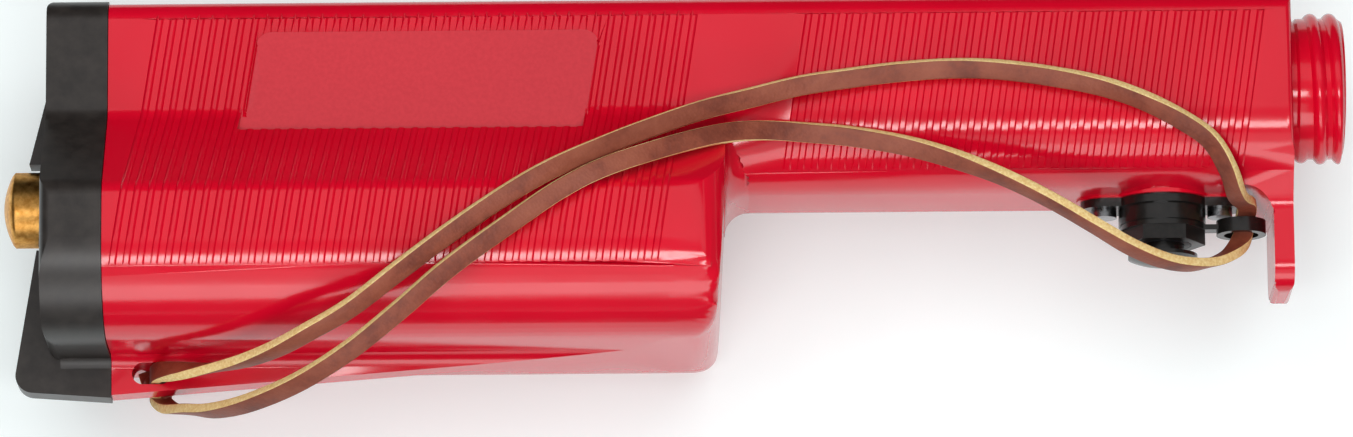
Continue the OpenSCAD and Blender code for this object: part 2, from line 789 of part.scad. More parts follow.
module bulkhead() {
    color("#d8cfb8") difference() {
        along_x(bulkhead_x, inner_x) chamber_section(-wall - move_gap);
        rod_along_x(plates_x, front_x, rod_d + 2 * seat_gap, rod_y, 0);
        for (at = [far_tab, rod_tab]) tab_pin(at, pin_d + 2 * seat_gap);
    }
}
module cap_bridge_plate() {
    color("#c9b27a") along_x(cap_inner, cap_plate_x) union() {
        for (at = [near_at, far_at]) translate(at) circle(r = spring_foot_r + spring_wire);
        strip(near_at, far_at, strip_w);
    }
}
module cap_rod_plate() {
    color("#c9b27a") along_x(cap_inner, cap_plate_x) difference() {
        union() {
            translate(top_at) circle(r = spring_foot_r + spring_wire);
            translate(rod_at) circle(d = clip_d);
            strip(top_at, rod_at, strip_w);
        }
        translate(rod_at) circle(d = shank_d + 2 * move_gap);
    }
}

// Swept tubes: rings of points joined into one closed skin
module skin(rings) {
    n = len(rings[0]);
    last = len(rings) - 1;
    polyhedron(
        points = [for (ring = rings) each ring],
        faces = concat(
            [for (k = [1 : n - 2]) [0, k, k + 1]],
            [for (i = [0 : last - 1], k = [0 : n - 1]) [i * n + k, (i + 1) * n + k, i * n + (k + 1) % n]],
            [for (i = [0 : last - 1], k = [0 : n - 1])
                [i * n + (k + 1) % n, (i + 1) * n + k, (i + 1) * n + (k + 1) % n]],
            [for (k = [1 : n - 2]) [last * n, last * n + k + 1, last * n + k]]
        )
    );
}
function heading(path, i) = unit(path[min(i + 1, len(path) - 1)] - path[max(i - 1, 0)]);

// Coil about X from x0 to x1, its radius going from r0 to r1
coil_sides = 6;
coil_steps = 8;
function coil_path(x0, x1, r0, r1, turns) = [
    for (i = [0 : ceil(turns * coil_steps)])
        let (f = i / ceil(turns * coil_steps), a = 360 * turns * f, r = r0 + (r1 - r0) * f)
        [x0 + (x1 - x0) * f, r * cos(a), r * sin(a)]
];
module coil(path, wire) {
    skin([for (p = path) let (out = unit([0, p[1], p[2]]))
        [for (k = [0 : coil_sides - 1])
            p + wire / 2 * (cos(-360 * k / coil_sides) * out + sin(-360 * k / coil_sides) * [1, 0, 0])]]);
}
function least_gap(path, wire, apart) = min([
    for (i = [0 : len(path) - 1 - apart], j = [i + apart : len(path) - 1]) norm(path[i] - path[j])
]) - wire;
contact_coil = coil_path(spring_wire / 2 + seat_gap, spring_h - spring_wire / 2 - seat_gap,
    spring_foot_r, spring_tip_r, spring_turns);
trigger_coil = coil_path(trigger_wire / 2 + seat_gap, trigger_spring_h - trigger_wire / 2 - seat_gap,
    trigger_coil_r, trigger_coil_r, trigger_turns);
echo("least gap in a contact spring", least_gap(contact_coil, spring_wire, coil_steps * 3 / 4));
echo("least gap in the trigger spring", least_gap(trigger_coil, trigger_wire, coil_steps * 3 / 4));
module cap_springs() {
    color("#a8aaad") for (at = [top_at, near_at, far_at])
        translate([cap_plate_x, at[0], at[1]]) coil(contact_coil, spring_wire);
}

// Trigger: bezel and screws, eyelet, nut, switch, button and its spring
module trigger_bezel() {
    color("#1b1b1d") difference() {
        union() {
            along_y(flange_y, pad_y) bezel_outline();
            rod_along_y(boss_y, pad_y - flange_t / 2, boss_d, -trigger_x, 0);
        }
        rod_along_y(boss_y - joint_lap, pad_y + joint_lap, bushing_hole, -trigger_x, 0);
        for (x = screw_xs) rod_along_y(boss_y, pad_y + joint_lap, screw_d + 2 * seat_gap, x, 0);
    }
}
module bezel_screws() {
    color("#8d8f92") for (x = screw_xs) union() {
        rod_along_y(flange_y - screw_head_h, flange_y, screw_head_d, x, 0);
        rod_along_y(flange_y - screw_head_h / 2, screw_end - seat_gap, screw_d, x, 0);
    }
}
module strap_eyelet() {
    middle = (boss_y + eyelet_y) / 2;
    neck_w = 3;
    ring_at = -trigger_x + ring_x;
    color("#1b1b1d") difference() {
        union() {
            rod_along_y(eyelet_y, boss_y, boss_d - 2 * move_gap, -trigger_x, 0);
            block([-trigger_x, eyelet_y, -neck_w / 2], [ring_at, boss_y, neck_w / 2]);
            rod_along_y(middle - ring_h / 2, middle + ring_h / 2, ring_d, ring_at, 0);
        }
        rod_along_y(eyelet_y - joint_lap, boss_y + joint_lap, bushing_hole, -trigger_x, 0);
        rod_along_y(middle - ring_h, middle + ring_h, ring_d - 2 * ring_wall, ring_at, 0);
    }
}
module lock_nut() {
    color("#2a2a2c") translate([-trigger_x, 0, 0]) difference() {
        along_y(nut_y, eyelet_y) circle(d = nut_flats / cos(30), $fn = 6);
        rod_along_y(nut_y - joint_lap, eyelet_y + joint_lap, bushing_d + 2 * seat_gap, 0, 0);
    }
}
module switch_body() {
    stem_end = stem_y + button_travel + joint_lap;
    color("#33353a") translate([-trigger_x, 0, 0]) difference() {
        union() {
            block([-switch_half_x, switch_y, -switch_half_z], [switch_half_x, switch_top, switch_half_z]);
            rod_along_y(nut_y, switch_y + joint_lap, bushing_d, 0, 0);
            for (x = [-lug_x, lug_x]) block(
                [x - lug_half[0], switch_top - joint_lap, -lug_half[1]],
                [x + lug_half[0], switch_top + lug_h, lug_half[1]]
            );
        }
        rod_along_y(nut_y - joint_lap, spring_seat_y, plunger_d + 2 * plunger_clearance, 0, 0);
        rod_along_y(spring_seat_y - joint_lap, stem_end, stem_d + 2 * move_gap, 0, 0);
    }
}
module trigger_button() {
    rim_y = button_y - button_rim;
    dome_r = (button_d * button_d / 4 + button_dome * button_dome) / (2 * button_dome);
    color("#1b1b1d") union() {
        rod_along_y(rim_y, button_y, button_d, -trigger_x, 0);
        intersection() {
            translate([-trigger_x, rim_y - button_dome + dome_r, 0]) sphere(r = dome_r);
            rod_along_y(rim_y - button_dome - joint_lap, rim_y + button_rim / 2, button_d, -trigger_x, 0);
        }
        rod_along_y(button_y - button_rim / 2, plunger_y, plunger_d, -trigger_x, 0);
        rod_along_y(plunger_y - joint_lap, stem_y, stem_d, -trigger_x, 0);
    }
}
module trigger_spring() {
    color("#a8aaad") translate([-trigger_x, plunger_y, 0]) rotate([0, 0, 90])
        coil(trigger_coil, trigger_wire);
}

// Electronics on a board that slides in two pairs of rails
core_l = 24;
core_h = 13;
core_d = 14;
core_inset = 5;
part_gap = 3;
end_margin = 4;
side_margin = 2;
can_d = 10;
can_l = 12;
core_x = board_rear + core_inset;
parts_x = core_x + core_l + part_gap;
can_x = parts_x + end_margin;
leg = 3.5;
window_w = 4.5;
yoke = 2.5;
module circuit_board() {
    color("#2f5d3a") block([board_rear, board_y, -board_half], [board_front, board_top, board_half]);
}
module transformer_core() {
    color("#4a4a4e") along_z(-core_d / 2, core_d / 2) translate([core_x, board_top]) difference() {
        square([core_l, core_h]);
        for (x = [leg, core_l - leg - window_w]) translate([x, yoke]) square([window_w, core_h - 2 * yoke]);
    }
}
module transformer_winding() {
    leg_half = core_l / 2 - leg - window_w + seat_gap;
    out_half = core_l / 2 - leg - seat_gap;
    thick = out_half - leg_half;
    deep = core_d / 2 + seat_gap;
    color("#9c5a2c") translate([core_x + core_l / 2, 0, 0])
        along_y(board_top + yoke + seat_gap, board_top + core_h - yoke - seat_gap) difference() {
            rounded([
                [-out_half, -deep - thick, thick / 2], [out_half, -deep - thick, thick / 2],
                [out_half, deep + thick, thick / 2], [-out_half, deep + thick, thick / 2]
            ]);
            translate([-leg_half, -deep]) square([2 * leg_half, 2 * deep]);
        }
}
module storage_capacitor() {
    color("#3b4a6b")
        rod_along_x(can_x, can_x + can_l, can_d, board_top + can_d / 2 + seat_gap, can_d / 2 + seat_gap);
}
module power_transistor() {
    body = [10, 4.4, 9];
    tab = [6, 1.2];
    hole_d = 3.4;
    at = [parts_x + tab[0], board_top, -board_half + side_margin];
    color("#2c2c2f") difference() {
        union() {
            block(at, at + body);
            block(at - [tab[0], 0, 0], at + [joint_lap, tab[1], body[2]]);
        }
        translate([at[0] - tab[0] / 2, 0, at[2] + body[2] / 2])
            rod_along_y(board_top - joint_lap, board_top + body[1], hole_d, 0, 0);
    }
}
module nose_disc() {
    color("#e4ddc8") difference() {
        rod_along_x(disc_x, disc_x + disc_t, disc_d, 0, 0);
        for (z = [-contact_pitch / 2, contact_pitch / 2])
            rod_along_x(disc_x - joint_lap, disc_x + disc_t + joint_lap, contact_pin + 2 * seat_gap, 0, z);
    }
}
module nose_contacts() {
    front = disc_x + disc_t;
    color("#b08d45") for (z = [-contact_pitch / 2, contact_pitch / 2]) union() {
        rod_along_x(front, front + contact_h, contact_d, 0, z);
        rod_along_x(disc_x - pin_reach, front + contact_h / 2, contact_pin, 0, z);
    }
}

// Insulated leads along hand-chosen points
lead_sides = 8;
module lead(path) {
    skin([for (i = [0 : len(path) - 1])
        let (t = heading(path, i), u = unit(cross([0, 0, 1], t)), v = cross(t, u))
        [for (k = [0 : lead_sides - 1])
            path[i] + lead_d / 2 * (cos(360 * k / lead_sides) * u - sin(360 * k / lead_sides) * v)]]);
}
lead_gap = 2;
tab_end = inner_x + pin_reach + move_gap;
pads_x = can_x + can_l + lead_gap;
pads_y = board_top + lead_d / 2 + seat_gap;
lug_top = switch_top + lug_h + lead_d / 2 + seat_gap;
rod_pad_x = board_rear + 7.5;
rod_pad_y = board_y - lead_d / 2 - 2 * seat_gap;
contact_end = disc_x - pin_reach - seat_gap;
// Rows of [share of the run along X, y, z] between two ends
function stretched(x0, x1, rows) = [for (row = rows) [x0 + (x1 - x0) * row[0], row[1], row[2]]];
battery_route = stretched(tab_end, -trigger_x - lug_x, [
    [0, far_tab[0], far_tab[1]], [0.03, -9.2, -6], [0.1, -10.5, -5.5], [0.36, -11, -5], [0.64, -11, -5],
    [0.76, -9.5, -5], [0.83, -6, -4.5], [0.88, -2, -3.5], [0.94, 0.2, -1.5], [1, lug_top, 0]
]);
rod_route = stretched(tab_end, rod_pad_x, [
    [0, rod_tab[0], 0], [0.16, -12.1, 0], [0.5, -10.4, 0], [0.8, -7.8, 0], [1, rod_pad_y, 0]
]);
switch_route = stretched(-trigger_x + lug_x, pads_x, [
    [0, lug_top, 0], [0.13, 2.8, 1], [0.38, 4, 3], [0.63, 2, 4.5], [0.83, -1.4, 5.4], [1, pads_y, 5.5]
]);
output_route = stretched(pads_x, contact_end, [
    [0, pads_y, -9], [0.12, -1, -8.8], [0.3, 3.5, -8], [0.5, 6, -7.2], [0.7, 5, -6.2], [0.85, 2, -5],
    [0.92, 0.5, -4.4], [1, 0, -contact_pitch / 2]
]);
module battery_lead() { color("#a02020") lead(battery_route); }
module rod_lead() { color("#202020") lead(rod_route); }
module switch_lead() { color("#a02020") lead(switch_route); }
module output_leads() {
    color("#d8d2c0") for (side = [1, -1]) lead([for (p = output_route) [p[0], p[1], side * p[2]]]);
}

// Leather lace: a flat strip along hand-chosen points, each [x, y, z] with the way its face looks
strap_w = 3.2;
strap_t = 1.6;
strap_route = [
    [[-190, -49, -7], [1, 0, 0]], [[-190, -47.7, -4], [1, 0, 0]], [[-190, -47.5, 0], [1, 0, 0]],
    [[-189, -47.6, 4], [0.9, -0.1, -0.4]], [[-186, -48.4, 8.5], [0.6, -0.6, -0.6]],
    [[-181, -49, 13], [0.2, -0.9, -0.3]], [[-174.5, -49, 19], [0, -1, 0]],
    [[-168.5, -48, 24.5], [-0.2, -0.9, 0.1]], [[-163, -46, 28.5], [-0.1, -0.9, 0.4]],
    [[-156, -42.5, 31], [0, -0.8, 0.6]], [[-148, -36.5, 31.8], [0, -0.7, 0.7]],
    [[-140, -30.5, 31.8], [0, -0.6, 0.8]], [[-131.5, -24.6, 31.6], [0, -0.5, 0.9]],
    [[-123.5, -19.8, 31.2], [0, -0.4, 0.9]], [[-115, -15.4, 28.4], [0, -0.3, 0.9]],
    [[-107, -11.6, 25.4], [0, -0.3, 0.9]], [[-98.5, -8, 22.4], [0, -0.3, 0.9]],
    [[-90.5, -5.4, 20], [0, -0.4, 0.9]], [[-82, -3, 18.5], [0, -0.4, 0.9]],
    [[-73.5, -1.6, 17.9], [0, -0.5, 0.9]],
    [[-65.5, -0.6, 17.7], [0, -0.5, 0.9]], [[-57, -0.1, 17.7], [0, -0.5, 0.9]],
    [[-49, -0.4, 17.8], [0, -0.6, 0.8]],
    [[-40.5, -1.6, 17.9], [0, -0.6, 0.8]], [[-32.5, -3.3, 18.1], [0, -0.7, 0.7]],
    [[-25.5, -5.8, 18.3], [0, -0.8, 0.6]], [[-19, -9.2, 18.2], [-0.1, -0.7, 0.7]],
    [[-14, -12.6, 17], [0.2, -0.4, 0.8]],
    [[-11, -17.4, 15.2], [0.2, -0.6, 0.7]], [[-9.4, -20.6, 10.6], [0.1, -0.8, 0.5]],
    [[-7.5, -20.8, 4.8], [0, -0.9, 0.4]], [[-7.5, -22.1, 1.2], [0, -0.7, 0.7]],
    [[-7.9, -25, 0.4], [0, 0.2, 1]], [[-8.9, -27.2, 1.4], [-0.2, 0.6, 0.7]],
    [[-10.6, -29.2, 3.6], [-0.3, 0.8, 0.4]], [[-13.6, -31, 6.4], [-0.2, 1, 0.2]],
    [[-17.4, -32, 9.4], [0, 1, -0.2]], [[-22, -31.8, 12.2], [0.3, 0.9, -0.4]],
    [[-27.5, -30, 14.6], [0.3, 0.8, -0.4]], [[-33.5, -26.8, 16.6], [0.3, 0.9, -0.3]],
    [[-41, -22.6, 18], [0.2, 0.9, -0.3]], [[-49, -18.6, 18.3], [0.1, 0.9, -0.4]],
    [[-57, -15.4, 17.8], [0, 0.7, -0.6]],
    [[-65, -13, 17.3], [0, 0.6, -0.8]], [[-73.5, -11.5, 17.5], [0, 0.5, -0.9]],
    [[-80.5, -10.9, 17.9], [0, 0.4, -0.9]],
    [[-87, -10.8, 19.3], [0, 0.2, -1]], [[-93, -11.6, 21.9], [0, 0.1, -1]],
    [[-99, -13.4, 25.1], [0, 0.1, -1]],
    [[-107, -16.3, 28.4], [0, 0.2, -1]], [[-115, -19.6, 30.9], [0, 0.2, -1]],
    [[-121.5, -23, 31.4], [0, 0.3, -1]], [[-128, -27.4, 31.6], [0, 0.4, -0.9]],
    [[-139.5, -35.8, 31.9], [0, 0.5, -0.8]], [[-148, -43, 31.2], [0, 0.6, -0.8]],
    [[-156, -49, 29], [0, 0.7, -0.7]],
    [[-164.5, -53.4, 24.5], [0.1, 0.8, -0.6]], [[-173, -55.4, 17], [0.2, 0.9, -0.4]],
    [[-179.5, -55.4, 10], [0.2, 1, -0.2]], [[-184, -54, 4], [0.1, 1, 0]],
    [[-187, -52.8, -1.5], [0, 1, 0.2]], [[-188.6, -51.4, -5], [0, 0.9, 0.5]],
    [[-189.6, -50, -7.2], [0, 0.8, 0.6]]
];
strap_edge = [
    [0.5, 0.25], [0.4, 0.5], [-0.4, 0.5], [-0.5, 0.25], [-0.5, -0.25], [-0.4, -0.5], [0.4, -0.5], [0.5, -0.25]
];
module wrist_strap() {
    path = [for (row = strap_route) row[0]];
    color("#6b3b22") skin([for (i = [0 : len(path) - 1])
        let (t = heading(path, i), side = unit(cross(strap_route[i][1], t)), up = cross(t, side))
        [for (p = strap_edge) path[i] + p[0] * strap_w * side + p[1] * strap_t * up]]);
}
module strap_knot() {
    color("#6b3b22") hull() {
        translate([-190.4, -47.9, -7.2]) sphere(r = 2.8, $fn = 20);
        translate([-188.2, -48.8, -7.5]) sphere(r = 2.7, $fn = 20);
    }
}

housing();
end_cap();
cap_seal();
thumb_knob();
knob_clip();
tie_rod();
cell_top_front();
cell_top_rear();
cell_near_front();
cell_near_rear();
cell_far_front();
cell_far_rear();
cap_bridge_plate();
cap_rod_plate();
cap_springs();
bulkhead();
front_bridge_plate();
front_terminal_plate();
rod_terminal();
trigger_bezel();
bezel_screws();
strap_eyelet();
lock_nut();
trigger_button();
trigger_spring();
switch_body();
circuit_board();
transformer_core();
transformer_winding();
storage_capacitor();
power_transistor();
nose_disc();
nose_contacts();
battery_lead();
rod_lead();
switch_lead();
output_leads();
wrist_strap();
strap_knot();
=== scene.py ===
# Battery handle of a livestock prod, dressed for a plain studio view
import math

import bmesh
import bpy
from mathutils import Matrix, Vector


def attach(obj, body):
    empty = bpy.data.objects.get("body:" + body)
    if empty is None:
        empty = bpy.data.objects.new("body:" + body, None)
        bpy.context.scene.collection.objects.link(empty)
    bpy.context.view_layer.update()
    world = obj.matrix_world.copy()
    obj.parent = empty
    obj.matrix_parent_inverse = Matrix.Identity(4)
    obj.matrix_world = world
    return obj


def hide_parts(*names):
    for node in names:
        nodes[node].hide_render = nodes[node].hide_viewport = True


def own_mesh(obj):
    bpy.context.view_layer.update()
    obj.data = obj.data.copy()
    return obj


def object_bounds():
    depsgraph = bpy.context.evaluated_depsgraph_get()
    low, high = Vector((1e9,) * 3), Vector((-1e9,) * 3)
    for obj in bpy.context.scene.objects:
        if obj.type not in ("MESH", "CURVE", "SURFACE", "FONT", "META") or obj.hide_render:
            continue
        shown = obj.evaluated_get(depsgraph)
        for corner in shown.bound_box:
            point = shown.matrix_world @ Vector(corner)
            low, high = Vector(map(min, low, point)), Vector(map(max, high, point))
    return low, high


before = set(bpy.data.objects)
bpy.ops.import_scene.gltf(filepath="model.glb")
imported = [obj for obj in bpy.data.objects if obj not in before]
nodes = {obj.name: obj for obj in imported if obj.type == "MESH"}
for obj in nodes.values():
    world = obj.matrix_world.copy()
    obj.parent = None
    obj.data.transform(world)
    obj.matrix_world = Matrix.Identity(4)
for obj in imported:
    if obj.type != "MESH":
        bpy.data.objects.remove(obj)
cadLow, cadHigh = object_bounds()
scene = bpy.context.scene
scene.view_settings.view_transform = "Standard"
mm = 0.001
mergeMm = {"copied": 0.002, "spun": 0.005, "cut": 0.001, "fineCut": 0.0005}  # how near points become one
print("frame loaded,", len(nodes), "nodes")


def linear(code):  # sRGB hex to a linear colour
    parts = [int(code[i:i + 2], 16) / 255 for i in (1, 3, 5)]
    return [p / 12.92 if p <= 0.04045 else ((p + 0.055) / 1.055) ** 2.4 for p in parts] + [1.0]


def addNode(tree, kind, sets=None, links=None):
    made = tree.nodes.new(kind)
    for key, value in (sets or {}).items():
        if isinstance(key, int) or key in made.inputs:
            made.inputs[key].default_value = value
        else:
            setattr(made, key, value)
    for key, source in (links or {}).items():
        tree.links.new(source, made.inputs[key])
    return made


def startMaterial(name, **sockets):
    made = bpy.data.materials.new(name)
    made.use_nodes = True
    tree = made.node_tree
    shader = tree.nodes["Principled BSDF"]
    for key, value in sockets.items():
        shader.inputs[key.replace("_", " ")].default_value = value
    place = addNode(tree, "ShaderNodeTexCoord").outputs["Object"]
    return made, tree, shader, place


def rampStops(ramp, stops):
    band = ramp.color_ramp
    while len(band.elements) < len(stops):
        band.elements.new(0.5)
    for element, (position, code) in zip(band.elements, stops):
        element.position = position
        element.color = linear(code)


# camera at the photograph's angle: a long lens, turned a little towards the handle's underside
view = {"aim": (-0.1027, -0.0213, 0.0), "away": 1.4, "tilt": 12.5, "roll": -0.5,
        "mmPerPixel": 0.1675, "pixels": 1353, "sensor": 36.0, "clip": 20.0}
tilt, roll = math.radians(view["tilt"]), math.radians(view["roll"])
upward = Vector((0, math.cos(tilt), math.sin(tilt)))
sideways = Vector((1, 0, 0))
camRight = sideways * math.cos(roll) + upward * math.sin(roll)
camUp = upward * math.cos(roll) - sideways * math.sin(roll)
camBack = camRight.cross(camUp)
cameraData = bpy.data.cameras.new("studioCamera")
camera = bpy.data.objects.new("studioCamera", cameraData)
scene.collection.objects.link(camera)
cameraTurn = Matrix((camRight, camUp, camBack)).transposed().to_4x4()
camera.matrix_world = Matrix.Translation(Vector(view["aim"]) + camBack * view["away"]) @ cameraTurn
cameraData.sensor_width = view["sensor"]
cameraData.lens = view["away"] / (view["mmPerPixel"] * mm * view["pixels"]) * view["sensor"]
cameraData.clip_end = view["clip"]
scene.camera = camera
print("camera set, lens", round(cameraData.lens, 1), "mm")


# a surface of one stuff with a mottled tone, a gloss that follows it and shallow dents
def finishOf(name, dark, light, grainMm, roughness, metallic=0.0, ior=1.5, bumpMm=0.02):
    made, tree, shader, place = startMaterial(name, Metallic=metallic, IOR=ior)
    cloud = addNode(tree, "ShaderNodeTexNoise", {"Scale": 1 / (grainMm * mm), "Detail": 4.0, "Roughness": 0.6},
                    {"Vector": place})
    tone = addNode(tree, "ShaderNodeValToRGB", None, {"Fac": cloud.outputs["Fac"]})
    rampStops(tone, [(0.35, dark), (0.68, light)])
    gloss = addNode(tree, "ShaderNodeMapRange", {"To Min": roughness * 0.85, "To Max": roughness * 1.2},
                    {"Value": cloud.outputs["Fac"]})
    dents = addNode(tree, "ShaderNodeBump", {"Strength": 0.25, "Distance": bumpMm * mm},
                    {"Height": cloud.outputs["Fac"]})
    tree.links.new(tone.outputs["Color"], shader.inputs["Base Color"])
    tree.links.new(gloss.outputs["Result"], shader.inputs["Roughness"])
    tree.links.new(dents.outputs["Normal"], shader.inputs["Normal"])
    return made


# ABS, moulded in a polished tool: saturated red, a clear gloss, faint haze and scuffs from handling
redLook = {"deep": "#cb0422", "clear": "#d60628", "scuffed": "#d8303c", "cloudMm": 26, "peelMm": 1.6,
           "hazeMm": 9, "scuffMm": 7}
redAbs, tree, shader, place = startMaterial("mouldedRedAbs", IOR=1.53)
cloud = addNode(tree, "ShaderNodeTexNoise", {"Scale": 1 / (redLook["cloudMm"] * mm), "Detail": 2.0},
                {"Vector": place})
tone = addNode(tree, "ShaderNodeValToRGB", None, {"Fac": cloud.outputs["Fac"]})
rampStops(tone, [(0.3, redLook["deep"]), (0.7, redLook["clear"])])
slant = addNode(tree, "ShaderNodeMapping", {"Rotation": (0.0, 0.0, 0.5), "Scale": (0.3, 3.0, 1.0)},
                {"Vector": place})
scratch = addNode(tree, "ShaderNodeTexNoise",
                  {"Scale": 1 / (redLook["scuffMm"] * mm), "Detail": 8.0, "Roughness": 0.7},
                  {"Vector": slant.outputs["Vector"]})
marks = addNode(tree, "ShaderNodeMapRange", {"From Min": 0.7, "From Max": 0.82, "To Max": 0.35},
                {"Value": scratch.outputs["Fac"]})
worn = addNode(tree, "ShaderNodeMix", {"data_type": "RGBA", 7: linear(redLook["scuffed"])},
               {0: marks.outputs["Result"], 6: tone.outputs["Color"]})
haze = addNode(tree, "ShaderNodeTexNoise", {"Scale": 1 / (redLook["hazeMm"] * mm), "Detail": 5.0},
               {"Vector": place})
gloss = addNode(tree, "ShaderNodeMapRange", {"From Min": 0.3, "From Max": 0.75, "To Min": 0.13, "To Max": 0.2},
                {"Value": haze.outputs["Fac"]})
dull = addNode(tree, "ShaderNodeMath", {"operation": "MULTIPLY_ADD", 1: 0.35},
               {0: marks.outputs["Result"], 2: gloss.outputs["Result"]})
peel = addNode(tree, "ShaderNodeTexNoise", {"Scale": 1 / (redLook["peelMm"] * mm), "Detail": 1.0},
               {"Vector": place})
dents = addNode(tree, "ShaderNodeBump", {"Strength": 0.06, "Distance": 0.05 * mm}, {"Height": peel.outputs["Fac"]})
tree.links.new(worn.outputs[2], shader.inputs["Base Color"])
tree.links.new(dull.outputs["Value"], shader.inputs["Roughness"])
tree.links.new(dents.outputs["Normal"], shader.inputs["Normal"])

# bare label panel: a satin patch of the same red, a shade paler, with a fine spark-eroded grain
panelRed = finishOf("satinRedPanel", "#c2172a", "#ca2131", 0.7, 0.32, ior=1.53, bumpMm=0.03)
# ABS, moulded black: brownish where the light catches it, drawn a little matt by the tool's texture
blackAbs = finishOf("mouldedBlackAbs", "#262220", "#322d2a", 2.4, 0.36, ior=1.53, bumpMm=0.04)
# nylon, moulded black: smoother than the cap, with sharp small highlights
blackNylon = finishOf("mouldedBlackNylon", "#141312", "#1d1b19", 1.4, 0.24, ior=1.53, bumpMm=0.02)
# steel, black oxide: dark and slightly oily
blackSteel = finishOf("blackOxideSteel", "#191817", "#24211f", 0.9, 0.34, metallic=0.3, bumpMm=0.015)
# brass, turned and knurled: warm, with a tone and gloss that vary at random
brass = finishOf("knurledBrass", "#c08238", "#f0b866", 1.1, 0.4, metallic=1.0, bumpMm=0.03)
# brass, stamped sheet: bright with faint smears
sheetBrass = finishOf("stampedBrass", "#a88f55", "#c9b27a", 3.0, 0.3, metallic=1.0)
# spring steel, drawn wire: grey and bright
springSteel = finishOf("drawnSpringSteel", "#7d7f82", "#a8aaad", 0.8, 0.28, metallic=1.0)
# steel with a plain printed wrap on each cell
cellWrap = finishOf("cellWrap", "#565960", "#666a72", 6.0, 0.4)
# phenolic board and turned insulator: cream, faintly mottled
creamPhenolic = finishOf("creamPhenolic", "#d2c9b0", "#e4ddc8", 2.2, 0.48)
# nitrile rubber gasket: soft dark grey
nitrile = finishOf("nitrileRubber", "#2f2f31", "#3d3d40", 1.2, 0.7)
# dark moulded phenolic of the switch
switchPhenolic = finishOf("switchPhenolic", "#2b2d31", "#383b41", 1.6, 0.45)
# glass-epoxy laminate: green with a fine weave tone
greenLaminate = finishOf("greenLaminate", "#284f32", "#346640", 0.6, 0.42)
# silicon steel laminations: dull grey
coreSteel = finishOf("laminatedCoreSteel", "#3f3f43", "#55555a", 0.5, 0.45, metallic=0.8)
# enamelled copper wire: coppery varnish
copperWire = finishOf("enamelledCopper", "#86481f", "#a8642f", 0.35, 0.3, metallic=0.6)
# printed sleeve of the capacitor
blueSleeve = finishOf("blueSleeve", "#33415f", "#425377", 2.0, 0.35)
# epoxy case of the transistor
blackEpoxy = finishOf("blackEpoxy", "#222225", "#303034", 0.8, 0.5)
# PVC insulation of the leads
redPvc = finishOf("redPvc", "#931b1b", "#ad2525", 1.5, 0.4)
blackPvc = finishOf("blackPvc", "#191919", "#272727", 1.5, 0.4)
whitePvc = finishOf("whitePvc", "#cdc6b2", "#dfd9c8", 1.5, 0.4)

# latigo leather, dyed on the grain face and cut in a lace: brown with fine pores and wrinkles
laceLook = {"dark": "#6c3122", "mid": "#85422e", "pale": "#94503a", "poreMm": 0.5, "shadeMm": 7, "wrinkleMm": 1.1}
laceFace, tree, shader, place = startMaterial("dyedLeatherFace", IOR=1.47)
shade = addNode(tree, "ShaderNodeTexNoise", {"Scale": 1 / (laceLook["shadeMm"] * mm), "Detail": 3.0},
                {"Vector": place})
pores = addNode(tree, "ShaderNodeTexVoronoi", {"Scale": 1 / (laceLook["poreMm"] * mm)}, {"Vector": place})
folds = addNode(tree, "ShaderNodeTexNoise",
                {"Scale": 1 / (laceLook["wrinkleMm"] * mm), "Detail": 5.0, "Roughness": 0.65}, {"Vector": place})
mixed = addNode(tree, "ShaderNodeMath", {"operation": "MULTIPLY_ADD", 1: 0.45},
                {0: folds.outputs["Fac"], 2: shade.outputs["Fac"]})
tone = addNode(tree, "ShaderNodeValToRGB", None, {"Fac": mixed.outputs["Value"]})
rampStops(tone, [(0.5, laceLook["dark"]), (0.7, laceLook["mid"]), (0.95, laceLook["pale"])])
gloss = addNode(tree, "ShaderNodeMapRange", {"To Min": 0.42, "To Max": 0.66}, {"Value": folds.outputs["Fac"]})
grain = addNode(tree, "ShaderNodeMath", {"operation": "ADD"}, {0: pores.outputs["Distance"], 1: folds.outputs["Fac"]})
dents = addNode(tree, "ShaderNodeBump", {"Strength": 0.4, "Distance": 0.1 * mm}, {"Height": grain.outputs["Value"]})
tree.links.new(tone.outputs["Color"], shader.inputs["Base Color"])
tree.links.new(gloss.outputs["Result"], shader.inputs["Roughness"])
tree.links.new(dents.outputs["Normal"], shader.inputs["Normal"])
# the same leather where it was cut: undyed fibres, straw coloured and dry
laceCut = finishOf("cutLeatherEdge", "#dcb673", "#f2dc9f", 0.5, 0.74, ior=1.45, bumpMm=0.12)
print("materials made:", len(bpy.data.materials))

finishes = {
    "end_cap": blackAbs, "cap_seal": nitrile, "knob_clip": springSteel, "tie_rod": brass,
    "cell_top_front": cellWrap, "cell_top_rear": cellWrap, "cell_near_front": cellWrap, "cell_near_rear": cellWrap,
    "cell_far_front": cellWrap, "cell_far_rear": cellWrap, "cap_bridge_plate": sheetBrass,
    "cap_rod_plate": sheetBrass, "cap_springs": springSteel, "bulkhead": creamPhenolic,
    "front_bridge_plate": sheetBrass, "front_terminal_plate": sheetBrass, "rod_terminal": sheetBrass,
    "trigger_bezel": blackNylon, "bezel_screws": springSteel, "strap_eyelet": blackNylon, "lock_nut": blackSteel,
    "trigger_button": blackNylon, "trigger_spring": springSteel, "switch_body": switchPhenolic,
    "circuit_board": greenLaminate, "transformer_core": coreSteel, "transformer_winding": copperWire,
    "storage_capacitor": blueSleeve, "power_transistor": blackEpoxy, "nose_disc": creamPhenolic,
    "nose_contacts": brass, "battery_lead": redPvc, "rod_lead": blackPvc, "switch_lead": redPvc,
    "output_leads": whitePvc,
}
for name, material in finishes.items():
    mesh = nodes[name].data
    mesh.materials.clear()
    mesh.materials.append(material)


